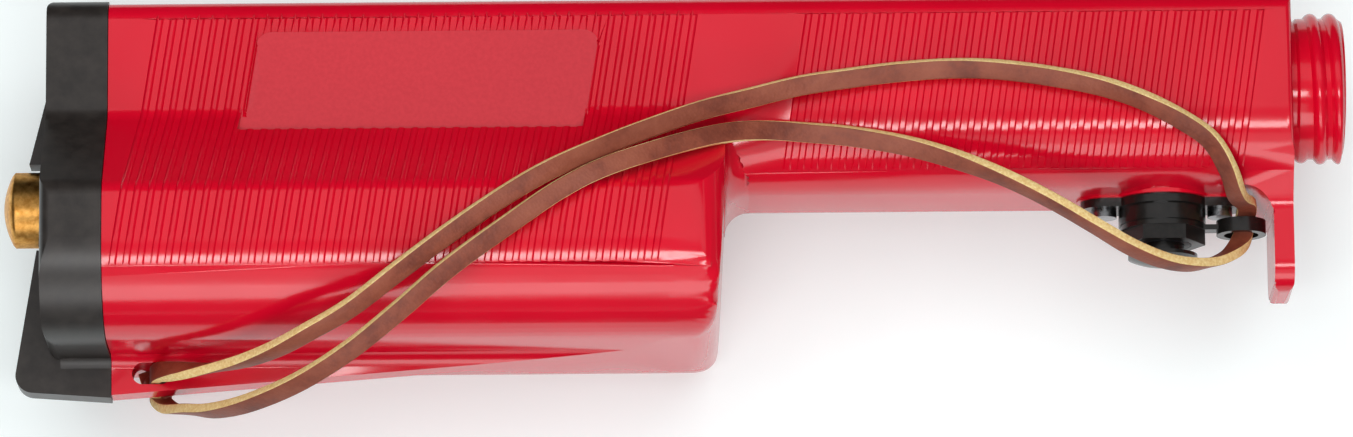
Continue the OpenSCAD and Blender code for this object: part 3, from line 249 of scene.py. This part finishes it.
def addPiece(bm, name, body, materials, sharpDegrees=32):
    limit = math.radians(sharpDegrees)
    for face in bm.faces:
        face.smooth = True
    for edge in bm.edges:
        if len(edge.link_faces) == 2:
            edge.smooth = edge.calc_face_angle(0.0) < limit
    mesh = bpy.data.meshes.new(name)
    bm.to_mesh(mesh)
    bm.free()
    piece = bpy.data.objects.new(name, mesh)
    scene.collection.objects.link(piece)
    for material in materials:
        mesh.materials.append(material)
    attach(piece, body)
    return piece


def partsOf(faces):  # the faces with their edges and points, each once and in a fixed order
    edges = dict.fromkeys(e for f in faces for e in f.edges)
    return list(faces) + list(edges) + list(dict.fromkeys(v for f in faces for v in f.verts))


def copyNode(name):
    bm = bmesh.new()
    bm.from_mesh(nodes[name].data)
    bmesh.ops.remove_doubles(bm, verts=bm.verts, dist=mergeMm["copied"] * mm)
    return bm


def cutOff(bm, x, way):  # takes away all that lies past x, in mm, on the side of way
    bmesh.ops.bisect_plane(bm, geom=bm.verts[:] + bm.edges[:] + bm.faces[:], dist=mergeMm["cut"] * mm,
                           plane_co=(x * mm, 0, 0), plane_no=(way, 0, 0), clear_outer=True)


def cutAcross(bm, faces, place, way):  # splits faces along a plane through a place in mm
    bmesh.ops.bisect_plane(bm, geom=partsOf(faces), dist=mergeMm["fineCut"] * mm, plane_co=Vector(place) * mm,
                           plane_no=way)


def extrudeTo(bm, face, before, after, first):  # one step of a sweep
    made = bmesh.ops.extrude_face_region(bm, geom=[face], use_keep_orig=first)["geom"]
    face = [g for g in made if isinstance(g, bmesh.types.BMFace)][0]
    bmesh.ops.transform(bm, matrix=after @ before.inverted(), verts=face.verts)
    return face


def revolve(bm, profile, y, steps, closed):  # a profile of x and radius in mm, turned about the line at y
    chain = [bm.verts.new((x * mm, (y + r) * mm, 0)) for x, r in profile]
    onward = chain[1:] + chain[:1] if closed else chain[1:]
    edges = [bm.edges.new(pair) for pair in zip(chain, onward)]
    bmesh.ops.spin(bm, geom=chain + edges, cent=(0, y * mm, 0), axis=(1, 0, 0), dvec=(0, 0, 0),
                   angle=2 * math.pi, steps=steps, use_merge=True, use_duplicate=False)
    bmesh.ops.remove_doubles(bm, verts=bm.verts, dist=mergeMm["spun"] * mm)
    bmesh.ops.recalc_face_normals(bm, faces=bm.faces)


# leather lace, one loop: points in mm as in the solid, each with the way its face looks, which near the eyelet
# differs a little from the solid's
lace = {
    "width": 3.2, "thick": 1.6, "corner": 0.22, "cutShare": 0.2, "steps": 5,
    "route": [
        [(-190, -49, -7), (1, 0, 0)], [(-190, -47.7, -4), (1, 0, 0)], [(-190, -47.5, 0), (1, 0, 0)],
        [(-189, -47.6, 4), (0.9, -0.1, -0.4)], [(-186, -48.4, 8.5), (0.6, -0.6, -0.6)],
        [(-181, -49, 13), (0.2, -0.9, -0.3)], [(-174.5, -49, 19), (0, -1, 0)],
        [(-168.5, -48, 24.5), (-0.2, -0.9, 0.1)], [(-163, -46, 28.5), (-0.1, -0.9, 0.4)],
        [(-156, -42.5, 31), (0, -0.8, 0.6)], [(-148, -36.5, 31.8), (0, -0.7, 0.7)],
        [(-140, -30.5, 31.8), (0, -0.6, 0.8)], [(-131.5, -24.6, 31.6), (0, -0.5, 0.9)],
        [(-123.5, -19.8, 31.2), (0, -0.4, 0.9)], [(-115, -15.4, 28.4), (0, -0.3, 0.9)],
        [(-107, -11.6, 25.4), (0, -0.3, 0.9)], [(-98.5, -8, 22.4), (0, -0.3, 0.9)],
        [(-90.5, -5.4, 20), (0, -0.4, 0.9)], [(-82, -3, 18.5), (0, -0.4, 0.9)],
        [(-73.5, -1.6, 17.9), (0, -0.5, 0.9)], [(-65.5, -0.6, 17.7), (0, -0.5, 0.9)],
        [(-57, -0.1, 17.7), (0, -0.5, 0.9)], [(-49, -0.4, 17.8), (0, -0.6, 0.8)],
        [(-40.5, -1.6, 17.9), (0, -0.6, 0.8)], [(-32.5, -3.3, 18.1), (0, -0.7, 0.7)],
        [(-25.5, -5.8, 18.3), (0, -0.8, 0.6)], [(-19, -9.2, 18.2), (-0.1, -0.7, 0.7)],
        [(-14, -12.6, 17), (-0.5, -0.5, 0.7)], [(-11, -17.4, 15.2), (-0.6, -0.3, 0.7)],
        [(-9.4, -20.6, 10.6), (-0.2, -0.8, 0.2)], [(-7.5, -20.8, 4.8), (0, -0.9, 0.4)],
        [(-7.5, -22.1, 1.2), (0, -0.7, 0.7)], [(-7.9, -25, 0.4), (0, 0.2, 1)],
        [(-8.9, -27.2, 1.4), (-0.2, 0.6, 0.7)], [(-10.6, -29.2, 3.6), (-0.3, 0.8, 0.4)],
        [(-13.6, -31, 6.4), (-0.2, 1, 0.2)], [(-17.4, -32, 9.4), (0, 1, -0.2)],
        [(-22, -31.8, 12.2), (0.3, 0.9, -0.4)], [(-27.5, -30, 14.6), (0.3, 0.8, -0.4)],
        [(-33.5, -26.8, 16.6), (0.3, 0.9, -0.3)], [(-41, -22.6, 18), (0.2, 0.9, -0.3)],
        [(-49, -18.6, 18.3), (0.1, 0.9, -0.4)], [(-57, -15.4, 17.8), (0, 0.7, -0.6)],
        [(-65, -13, 17.3), (0, 0.6, -0.8)], [(-73.5, -11.5, 17.5), (0, 0.5, -0.9)],
        [(-80.5, -10.9, 17.9), (0, 0.4, -0.9)], [(-87, -10.8, 19.3), (0, 0.2, -1)],
        [(-93, -11.6, 21.9), (0, 0.1, -1)], [(-99, -13.4, 25.1), (0, 0.1, -1)],
        [(-107, -16.3, 28.4), (0, 0.2, -1)], [(-115, -19.6, 30.9), (0, 0.2, -1)],
        [(-121.5, -23, 31.4), (0, 0.3, -1)], [(-128, -27.4, 31.6), (0, 0.4, -0.9)],
        [(-139.5, -35.8, 31.9), (0, 0.5, -0.8)], [(-148, -43, 31.2), (0, 0.6, -0.8)],
        [(-156, -49, 29), (0, 0.7, -0.7)], [(-164.5, -53.4, 24.5), (0.1, 0.8, -0.6)],
        [(-173, -55.4, 17), (0.2, 0.9, -0.4)], [(-179.5, -55.4, 10), (0.2, 1, -0.2)],
        [(-184, -54, 4), (0.1, 1, 0)], [(-187, -52.8, -1.5), (0, 1, 0.2)], [(-188.6, -51.4, -5), (0, 0.9, 0.5)],
        [(-189.6, -50, -7.2), (0, 0.8, 0.6)],
    ],
}


def easedRows(rows, steps):  # Catmull-Rom points between the rows
    out = []
    for i in range(len(rows) - 1):
        four = [rows[max(i - 1, 0)], rows[i], rows[i + 1], rows[min(i + 2, len(rows) - 1)]]
        for k in range(steps if i < len(rows) - 2 else steps + 1):
            t = k / steps
            w = (-t + 2 * t ** 2 - t ** 3, 2 - 5 * t ** 2 + 3 * t ** 3, t + 4 * t ** 2 - 3 * t ** 3, t ** 3 - t ** 2)
            out.append([sum((Vector(r[j]) * w[n] for n, r in enumerate(four)), Vector()) * 0.5 for j in (0, 1)])
    return out


def sweepLace(rows, width, thick, corner):
    bm = bmesh.new()
    bmesh.ops.create_grid(bm, x_segments=1, y_segments=1, size=0.5)
    bmesh.ops.scale(bm, vec=(width * mm, thick * mm, 1), verts=bm.verts)
    bmesh.ops.bevel(bm, geom=bm.verts[:], offset=corner * mm, affect="VERTICES", segments=2, profile=0.5, material=-1)
    face = bm.faces[:][0]
    places = []
    for i, (point, looks) in enumerate(rows):
        ahead = (rows[min(i + 1, len(rows) - 1)][0] - rows[max(i - 1, 0)][0]).normalized()
        side = looks.cross(ahead).normalized()
        up = ahead.cross(side)
        places.append(Matrix.Translation(point * mm) @ Matrix((side, up, ahead)).transposed().to_4x4())
    bmesh.ops.transform(bm, matrix=places[0], verts=bm.verts)
    cutFrom = (width / 2 - corner * lace["cutShare"]) * mm  # walls past this are the cut edge
    for before, after in zip(places, places[1:]):
        face = extrudeTo(bm, face, before, after, before is places[0])
        back, fore, fresh = before.inverted(), after.inverted(), set(face.verts)
        for wall in {f for edge in face.edges for f in edge.link_faces if f is not face}:
            reach = abs(sum(((fore if v in fresh else back) @ v.co).x for v in wall.verts)) / len(wall.verts)
            wall.material_index = 1 if reach > cutFrom else 0
    face.material_index = 1
    bmesh.ops.recalc_face_normals(bm, faces=bm.faces)
    return bm


laceRows = easedRows(lace["route"], lace["steps"])
bm = sweepLace(laceRows, lace["width"], lace["thick"], lace["corner"])
laceStrip = addPiece(bm, "leather_lace", "handle", [laceFace, laceCut], sharpDegrees=40)
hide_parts("wrist_strap")

# knot behind the fin: both ends of the lace tied together in a trefoil, with two short tails
knot = {"centre": (-189.4, -48.3, -7.4), "size": 0.8, "rise": 1.1, "flatten": 0.6, "width": 2.2, "thick": 1.4,
        "corner": 0.3, "points": 60, "tailLooks": (0.2, -0.5, -0.8),
        "tails": [[(-190.4, -47.6, -8.6), (-191.2, -46.6, -10.2), (-191.8, -44.8, -11.0)],
                  [(-188.4, -47.8, -8.8), (-187.2, -46.8, -10.4), (-186.4, -45.2, -11.4)]]}
rows = []
for k in range(knot["points"] + 1):
    a = 2 * math.pi * k / knot["points"]
    point = Vector((math.sin(a) + 2 * math.sin(2 * a), math.cos(a) - 2 * math.cos(2 * a),
                    -knot["rise"] * math.sin(3 * a)))
    looks = Vector((point.x, point.y, knot["flatten"] * point.z)).normalized()
    rows.append([Vector(knot["centre"]) + point * knot["size"], looks])
bm = sweepLace(rows, knot["width"], knot["thick"], knot["corner"])
knotPiece = addPiece(bm, "lace_knot", "handle", [laceFace, laceFace], sharpDegrees=40)
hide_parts("strap_knot")
for number, points in enumerate(knot["tails"]):
    rows = easedRows([[p, knot["tailLooks"]] for p in points], lace["steps"])
    bm = sweepLace(rows, lace["width"], lace["thick"], lace["corner"])
    addPiece(bm, "lace_tail_%d" % (number + 1), "handle", [laceFace, laceCut],
                          sharpDegrees=40)
print("knot tied")

# housing: the moulding's own mesh up to the nose, where a threaded nose takes over
shell = {"noseCut": 0.15, "padMiddle": (-145.5, -1), "padHalf": (31.5, 9.2), "padLevels": (15.9, 16.1),
         "padFacing": 0.9}
bm = copyNode("housing")
cutOff(bm, shell["noseCut"], 1)
# ribs: the solid's upright rib walls get draft, and their tops are rounded, as in a mould; the fold is in radians
ribs = {"lean": 8.8, "drawIn": 0.12, "spread": 0.2, "round": 0.2, "segments": 3, "flatDegrees": 0.3, "mark": 2,
        "upright": 0.02, "leanSlack": 0.006, "rising": 0.99, "fold": 0.3, "alike": 0.98}
bm.normal_update()
wallX = math.cos(math.radians(ribs["lean"]))
walls = [f for f in bm.faces
         if abs(f.normal.z) < ribs["upright"] and abs(abs(f.normal.x) - wallX) < ribs["leanSlack"]]
marked = dict.fromkeys(walls)
for face in walls:  # the small faces that close a rib's ends
    for edge in face.edges:
        rise = (edge.verts[0].co - edge.verts[1].co).normalized()
        if abs(rise.z) > ribs["rising"] and edge.calc_face_angle_signed(0) > ribs["fold"]:
            marked.update(dict.fromkeys(f for f in edge.link_faces if abs(f.normal.z) < ribs["upright"]))
shifts = {}
for face in marked:
    face.material_index = ribs["mark"]
    for vert in face.verts:
        known = shifts.setdefault(vert, [])
        if all(face.normal.dot(n) < ribs["alike"] for n in known):
            known.append(face.normal.copy())
for vert, ways in shifts.items():
    sunk = any(e.calc_face_angle_signed(0) < -ribs["fold"] for e in vert.link_edges)
    for way in ways:
        vert.co += way * (ribs["spread"] if sunk else -ribs["drawIn"]) * mm
crowns = {f for face in marked for e in face.edges if e.calc_face_angle_signed(0) > ribs["fold"]
          for f in e.link_faces} - set(marked)
seams = [e for e in bm.edges if len(e.link_faces) == 2
         and (all(f in marked for f in e.link_faces) or crowns.issuperset(e.link_faces))]
bmesh.ops.dissolve_limit(bm, angle_limit=math.radians(ribs["flatDegrees"]), edges=seams)
tops = [e for e in bm.edges if e.calc_face_angle_signed(0) > ribs["fold"]
        and sum(f.material_index == ribs["mark"] for f in e.link_faces) == 1]
print("rib walls", len(walls), "ends", len(marked) - len(walls), "top edges", len(tops))
bmesh.ops.bevel(bm, geom=tops, offset=ribs["round"] * mm, offset_type="OFFSET", affect="EDGES",
                segments=ribs["segments"], profile=0.5, material=-1, clamp_overlap=False)

# label panel: its flat runs on into the foot of the slope below it
panel = {"top": 15.95, "foot": -9.6, "left": -173.9, "right": -116.6, "step": 0.12, "under": -4,
         "zoneX": (-180, -112), "zoneY": -12, "zoneZ": 15}
leanX = math.tan(math.radians(ribs["lean"]))
endWay = Vector((1, -leanX, 0)).normalized()
planes = [((0, panel["foot"], 0), (0, 1, 0)), ((0, panel["foot"] + panel["step"], 0), (0, 1, 0))]
for end, inward in (("left", 1), ("right", -1)):
    planes += [((panel[end], 0, 0), endWay), ((panel[end] + inward * panel["step"], 0, 0), endWay)]
for place, way in planes:
    near = []
    for face in bm.faces:
        xs, ys, zs = zip(*(v.co / mm for v in face.verts))
        if (max(zs) > panel["zoneZ"] and max(ys) > panel["zoneY"] and min(ys) < panel["under"]
                and max(xs) > panel["zoneX"][0] and min(xs) < panel["zoneX"][1]):
            near.append(face)
    cutAcross(bm, near, place, way)
half = panel["step"] / 2
for vert in bm.verts:
    x, y, z = vert.co / mm
    x -= y * leanX
    if (panel["foot"] + half < y < panel["under"] and z > panel["top"]
            and panel["left"] + half < x < panel["right"] - half):
        vert.co.z = panel["top"] * mm
bm.normal_update()
for face in bm.faces:
    middle = face.calc_center_median() / mm
    inside = all(abs(middle[i] - shell["padMiddle"][i]) < shell["padHalf"][i] for i in (0, 1))
    level = shell["padLevels"][0] < middle.z < shell["padLevels"][1]
    face.material_index = 1 if inside and level and face.normal.z > shell["padFacing"] else 0

# chamber's lower front corners: cut small and smoothed, so that each is one rounded ball
ball = {"back": -104.0, "over": -34.0, "inner": 12.0, "slack": 0.01, "cuts": (3, 2), "longest": 0.9,
        "rounds": 30, "factor": 0.5, "middle": Vector((-140, -25, 0)) * mm}


def reachesBall(face):
    xs, ys, zs = zip(*(v.co / mm for v in face.verts))
    return (max(xs) > ball["back"] + ball["slack"] and min(ys) < ball["over"] - ball["slack"]
            and max(abs(z) for z in zs) > ball["inner"] + ball["slack"]
            and face.normal.dot(face.calc_center_median() - ball["middle"]) > 0)


def insideBall(face):
    middle = face.calc_center_median() / mm
    return (reachesBall(face) and middle.x > ball["back"] and middle.y < ball["over"]
            and abs(middle.z) > ball["inner"])


for place, way in (((ball["back"], 0, 0), (1, 0, 0)), ((0, ball["over"], 0), (0, 1, 0)),
                   ((0, 0, ball["inner"]), (0, 0, 1)), ((0, 0, -ball["inner"]), (0, 0, 1))):
    cutAcross(bm, [f for f in bm.faces if reachesBall(f)], place, way)
bm.normal_update()
bmesh.ops.triangulate(bm, faces=[f for f in bm.faces if insideBall(f)])
for cuts in ball["cuts"]:
    patch = [f for f in bm.faces if insideBall(f)]
    long = [e for e in dict.fromkeys(e for f in patch for e in f.edges) if e.calc_length() > ball["longest"] * mm]
    bmesh.ops.subdivide_edges(bm, edges=long, cuts=cuts, use_grid_fill=True)
    bm.normal_update()
    bmesh.ops.triangulate(bm, faces=[f for f in bm.faces if insideBall(f) and len(f.verts) > 3])
    bm.normal_update()
patch = dict.fromkeys(f for f in bm.faces if insideBall(f))
soft = [v for v in dict.fromkeys(v for f in patch for v in f.verts) if all(f in patch for f in v.link_faces)]
for again in range(ball["rounds"]):
    bmesh.ops.smooth_vert(bm, verts=soft, factor=ball["factor"], use_axis_x=True, use_axis_y=True,
                          use_axis_z=True)
bm.normal_update()
print("corner patch", len(patch), "faces")

# rounded lower edges of the chamber and the grip, each about an axis at y and z; the grip's shading follows a wider
# turn than its mesh: the degrees turned down at each level
chamberRound = {"from": -196.9, "to": -104.1, "top": -29.6, "y": -29.6, "z": 14.0, "radius": 15.0}
gripRound = {"from": -93.9, "to": -0.1, "top": -5.1, "y": -9.5, "z": 5.9, "radius": 9.5,
             "sideX": (-94.4, 0.1), "sideZ": 15.2, "levelSlack": 0.6,
             "turns": [(-5.1, 0.0), (-9.5, 17.5), (-13.5, 37.6), (-16.3, 60.0), (-19.0, 90.0)]}
roundFit = {"under": -0.1, "over": 0.55, "slack": 0.01, "facing": 0.8}
# the grip's flat side gets a line of points where its turn begins
rear, front = gripRound["sideX"]
gripSide = [f for f in bm.faces if max(abs(v.co.z) for v in f.verts) > gripRound["sideZ"] * mm
            and min(v.co.x for v in f.verts) > rear * mm and max(v.co.x for v in f.verts) < front * mm
            and min(v.co.y for v in f.verts) < gripRound["top"] * mm < max(v.co.y for v in f.verts)]
cutAcross(bm, gripSide, (0, gripRound["top"], 0), (0, 1, 0))
housingShell = addPiece(bm, "housing_shell", "handle", [redAbs, panelRed], sharpDegrees=24)
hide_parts("housing")


def onRound(bend, place, facing):  # the way out from a rounded edge's axis, for a point on its skin
    x, y, z = place
    way = Vector((0, min(0.0, y - bend["y"]), z - math.copysign(bend["z"], z)))
    fits = (bend["from"] < x < bend["to"] and y < bend["top"] + roundFit["slack"]
            and roundFit["under"] < way.length - bend["radius"] < roundFit["over"]
            and way.z * z > -roundFit["slack"] and way.normalized().dot(facing) > roundFit["facing"])
    return way.normalized() if fits else None


def gripNormal(y, z):
    for (upper, turned), (lower, onward) in zip(gripRound["turns"], gripRound["turns"][1:]):
        if y > lower - gripRound["levelSlack"]:
            share = min(1.0, max(0.0, (upper - y) / (upper - lower)))
            angle = math.radians(turned + (onward - turned) * share)
            return Vector((0, -math.sin(angle), math.copysign(math.cos(angle), z)))
    return Vector()


mesh = housingShell.data
trueNormals = [Vector() for loop in mesh.loops]
for face in mesh.polygons:
    for k in face.loop_indices:
        place = mesh.vertices[mesh.loops[k].vertex_index].co / mm
        outward = onRound(chamberRound, place, face.normal)
        if outward is not None:
            trueNormals[k] = outward
        elif onRound(gripRound, place, face.normal) is not None:
            trueNormals[k] = gripNormal(place.y, place.z)
mesh.normals_split_custom_set(trueNormals)
print("true normals on", sum(n.length > 0 for n in trueNormals), "corners of the housing")

# web: the fillet where the grip's underside runs into the chamber's front, full once it has turned as far as grown
web = {"x": -94.6, "radius": 4.0, "depth": 0.6, "stations": 12, "thin": 0.12, "grown": 0.9, "segments": 8}
bm = bmesh.new()
outline = [(-web["depth"], -web["depth"]), (web["radius"], -web["depth"])]
for k in range(web["segments"], -1, -1):
    a = math.pi / 2 * k / web["segments"]
    outline.append((web["radius"] * (1 - math.cos(a)), web["radius"] * (1 - math.sin(a))))
outline.append((-web["depth"], web["radius"]))
face = bm.faces.new([bm.verts.new((x * mm, y * mm, 0)) for x, y in outline])
places = []
for k in range(2 * web["stations"] + 2):
    near = k <= web["stations"]
    a = math.pi / 2 * (k if near else 2 * web["stations"] + 1 - k) / web["stations"]
    side = 1 if near else -1
    way = Vector((0, -math.sin(a), side * math.cos(a)))
    full = web["thin"] + (1 - web["thin"]) * min(1.0, a / web["grown"])
    spot = Vector((web["x"], gripRound["y"], side * gripRound["z"])) + way * gripRound["radius"]
    frameOf = Matrix((Vector((full, 0, 0)), way * full, Vector((1, 0, 0)).cross(way))).transposed().to_4x4()
    places.append(Matrix.Translation(spot * mm) @ frameOf)
bmesh.ops.transform(bm, matrix=places[0], verts=bm.verts)
for before, after in zip(places, places[1:]):
    face = extrudeTo(bm, face, before, after, before is places[0])
bmesh.ops.recalc_face_normals(bm, faces=bm.faces)
addPiece(bm, "grip_web", "handle", [redAbs], sharpDegrees=40)

# nose: a revolved core with a helical ridge, rounded as moulded threads are
nose = {"pitch": 3.175, "crest": 3.8, "from": -0.62, "to": 1.78, "fade": 0.2, "least": 0.02, "perTurn": 96,
        "foot": 11.6, "eased": 8.2, "left": 0.88, "crestRound": 0.45,
        "ridge": [(-1.45, 11.6), (-0.5, 12.7), (0.5, 12.7), (1.45, 11.6)],
        "core": [(0.1, 7.5), (0.1, 11.4), (1.0, 11.4), (1.5, 11.85), (8.3, 11.85), (9.1, 11.3), (9.1, 9.9),
                 (8.8, 9.6), (2.0, 9.6), (2.0, 7.5)]}
core = bmesh.new()
revolve(core, nose["core"], 0, nose["perTurn"], closed=True)
bm = bmesh.new()
begin = nose["crest"] + nose["pitch"] * nose["from"]
corners = [bm.verts.new(((begin + x) * mm, r * mm, 0)) for x, r in nose["ridge"]]
bm.faces.new(corners)
bmesh.ops.bevel(bm, geom=corners[1:3], offset=nose["crestRound"] * mm, affect="VERTICES", segments=4, profile=0.5,
                material=-1)
bmesh.ops.rotate(bm, cent=(0, 0, 0), matrix=Matrix.Rotation(2 * math.pi * nose["from"], 3, "X"), verts=bm.verts)
steps = int(nose["perTurn"] * (nose["to"] - nose["from"]))
bmesh.ops.spin(bm, geom=bm.faces[:] + bm.edges[:] + bm.verts[:], cent=(0, 0, 0), axis=(1, 0, 0),
               dvec=(nose["pitch"] * mm / nose["perTurn"], 0, 0), angle=2 * math.pi * steps / nose["perTurn"],
               steps=steps, use_merge=False, use_duplicate=False)
for vert in bm.verts:  # the ridge runs out into the core at both ends
    angle = math.atan2(vert.co.z, vert.co.y) / (2 * math.pi)
    along = angle + round((vert.co.x / mm - nose["crest"]) / nose["pitch"] - angle)
    share = min(1.0, (along - nose["from"]) / nose["fade"], (nose["to"] - along) / nose["fade"])
    radius = math.hypot(vert.co.y, vert.co.z)
    wanted = nose["foot"] * mm + (radius - nose["foot"] * mm) * max(nose["least"], share)
    vert.co.y, vert.co.z = vert.co.y * wanted / radius, vert.co.z * wanted / radius
    past = vert.co.x / mm - nose["eased"]
    if past > 0:  # the last turn is rounded off at the nose's end
        vert.co.x = (nose["eased"] + nose["left"] * (1 - math.exp(-past / nose["left"]))) * mm
bmesh.ops.recalc_face_normals(bm, faces=bm.faces)
ridgeMesh = bpy.data.meshes.new("ridge")
bm.to_mesh(ridgeMesh)
bm.free()
core.from_mesh(ridgeMesh)
addPiece(core, "nose_thread", "handle", [redAbs], sharpDegrees=35)
print("housing and nose made")

# knob: a diamond-knurled rim with a domed end, on the solid's own shank
knob = {"y": -19.0, "rimIn": -207.72, "rimOut": -213.78, "edge": 0.45, "domeTip": -215.28, "radius": 6.35,
        "around": 112, "rows": 16, "depth": 0.13, "cut": -207.75, "shank": 2.6, "backEdge": 0.35, "domeEdge": 0.4,
        "domeSteps": 8, "slack": 0.01}
bm = bmesh.new()
inner, outer = knob["rimOut"] + knob["edge"], knob["rimIn"] - knob["edge"]
groove = knob["radius"] - knob["depth"]
profile = [(knob["rimIn"], knob["shank"]), (knob["rimIn"], groove - knob["backEdge"])]
profile += [(outer + (inner - outer) * k / knob["rows"], groove) for k in range(knob["rows"] + 1)]
domeRise, domeFoot = knob["rimOut"] - knob["domeTip"], groove - knob["domeEdge"]
profile += [(knob["rimOut"], domeFoot)]
for step in range(knob["domeSteps"] - 1, 0, -1):
    profile.append((knob["domeTip"] + domeRise * (step / knob["domeSteps"]) ** 2,
                    domeFoot * step / knob["domeSteps"]))
profile += [(knob["domeTip"], 0.0)]
revolve(bm, profile, knob["y"], knob["around"], closed=False)
for vert in bm.verts:  # every other point of the rim stands out, which makes the diamonds
    away = Vector((0, vert.co.y - knob["y"] * mm, vert.co.z))
    if abs(away.length - groove * mm) < knob["slack"] * mm:
        row = round((vert.co.x / mm - outer) / (inner - outer) * knob["rows"])
        column = round(math.atan2(away.z, away.y) / (2 * math.pi) * knob["around"])
        if (row + column) % 2 == 0:
            vert.co += away.normalized() * knob["depth"] * mm
addPiece(bm, "knurled_head", "knob", [brass], sharpDegrees=50)
bm = copyNode("thumb_knob")
cutOff(bm, knob["cut"], -1)
shank = addPiece(bm, "knob_shank", "knob", [brass])
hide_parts("thumb_knob")
print("knob made")

# return spring of the button, copied onto a mesh of its own
coils = addPiece(copyNode("trigger_spring"), "return_spring", "handle", [springSteel], sharpDegrees=40)
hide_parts("trigger_spring")
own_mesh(coils)


def addCard(name, across, deep, spot, material, tipped):  # a flat card about a spot, tipped up by degrees
    bm = bmesh.new()
    bmesh.ops.create_grid(bm, x_segments=1, y_segments=1, size=0.5)
    bmesh.ops.scale(bm, vec=(across, deep, 1), verts=bm.verts)
    bmesh.ops.rotate(bm, cent=(0, 0, 0), matrix=Matrix.Rotation(math.radians(tipped), 3, "X"), verts=bm.verts)
    bmesh.ops.translate(bm, vec=spot, verts=bm.verts)
    mesh = bpy.data.meshes.new(name)
    bm.to_mesh(mesh)
    bm.free()
    mesh.materials.append(material)
    made = bpy.data.objects.new(name, mesh)
    scene.collection.objects.link(made)
    return made


# floor: a plain white card just under the handle, which the camera sees near white
floor = {"drop": 0.15, "near": -0.9, "far": 0.9, "side": 1.0, "low": "#dae4e4", "high": "#dee8e8", "speckMm": 30,
         "lift": 0.28}
card = finishOf("whiteCard", floor["low"], floor["high"], floor["speckMm"], 0.8, bumpMm=0.001)
tree = card.node_tree
seen = addNode(tree, "ShaderNodeLightPath")
either = addNode(tree, "ShaderNodeMath", {"operation": "MAXIMUM"},
                 {0: seen.outputs["Is Camera Ray"], 1: seen.outputs["Is Glossy Ray"]})
anyRay = addNode(tree, "ShaderNodeMath", {"operation": "MAXIMUM"},
                 {0: either.outputs["Value"], 1: seen.outputs["Is Transmission Ray"]})
lift = addNode(tree, "ShaderNodeMath", {"operation": "MULTIPLY", 1: floor["lift"]}, {0: anyRay.outputs["Value"]})
tree.nodes["Principled BSDF"].inputs["Emission Color"].default_value = (1, 1, 1, 1)
tree.links.new(lift.outputs["Value"], tree.nodes["Principled BSDF"].inputs["Emission Strength"])
spot = (view["aim"][0], (floor["far"] + floor["near"]) / 2, cadLow[2] - floor["drop"] * mm)
floorPiece = addCard("studioFloor", 2 * floor["side"], floor["far"] - floor["near"], spot, card, tipped=0)

# flags: dark cards that only reflections show, one past the handle's top for the deep tone of the sloping sides,
# and a low one in front for the dark band above the underside
flags = [{"name": "topFlag", "y": 0.14, "low": -0.02, "high": 0.26, "side": 0.5},
         {"name": "frontFlag", "y": -0.14, "low": -0.0285, "high": 0.014, "side": 0.5}]
felt = finishOf("blackFeltCard", "#0c0c0c", "#141414", 3.0, 0.95)
for flag in flags:
    spot = (view["aim"][0], flag["y"], (flag["high"] + flag["low"]) / 2)
    flagPiece = addCard(flag["name"], 2 * flag["side"], flag["high"] - flag["low"], spot, felt, tipped=90)
    flagPiece.visible_camera = False
    flagPiece.visible_shadow = False
    flagPiece.visible_diffuse = False

# soft light: a broad box overhead that reflections don't show, a dim one that the flat sides mirror, and three in
# front for the bright bands
lamps = [
    {"name": "overheadBox", "at": (-0.1, 0.2, 0.98), "to": (-0.1, 0.0, 0.0), "size": (1.3, 0.8), "watts": 6.5,
     "mirrored": False},
    {"name": "dimBox", "at": (-0.1, 0.26, 0.86), "to": (-0.1, 0.0, 0.0), "size": (1.6, 0.5), "watts": 1.3,
     "mirrored": True},
    {"name": "nearBox", "at": (-0.1, -0.3, 0.8), "to": (-0.1, -0.02, 0.0), "size": (0.5, 0.12), "watts": 2.3,
     "mirrored": True},
    {"name": "midBox", "at": (-0.1, -0.64, 0.62), "to": (-0.1, -0.02, 0.0), "size": (0.5, 0.3), "watts": 0.45,
     "mirrored": True},
    {"name": "lowBox", "at": (-0.1, -0.79, 0.4), "to": (-0.1, -0.02, 0.0), "size": (0.7, 0.32), "watts": 2.3,
     "mirrored": True},
]
for lamp in lamps:
    data = bpy.data.lights.new(lamp["name"], "AREA")
    data.shape = "RECTANGLE"
    data.size, data.size_y = lamp["size"]
    data.energy = lamp["watts"]
    light = bpy.data.objects.new(lamp["name"], data)
    scene.collection.objects.link(light)
    light.visible_glossy = lamp["mirrored"]
    toward = Vector(lamp["to"]) - Vector(lamp["at"])
    light.matrix_world = Matrix.Translation(Vector(lamp["at"])) @ toward.to_track_quat("-Z", "Y").to_matrix().to_4x4()

room = {"tone": "#e8e9eb", "strength": 0.14}
world = bpy.data.worlds.new("softRoom")
world.use_nodes = True
scene.world = world
world.node_tree.nodes["Background"].inputs["Color"].default_value = linear(room["tone"])
world.node_tree.nodes["Background"].inputs["Strength"].default_value = room["strength"]
print("floor and light set")
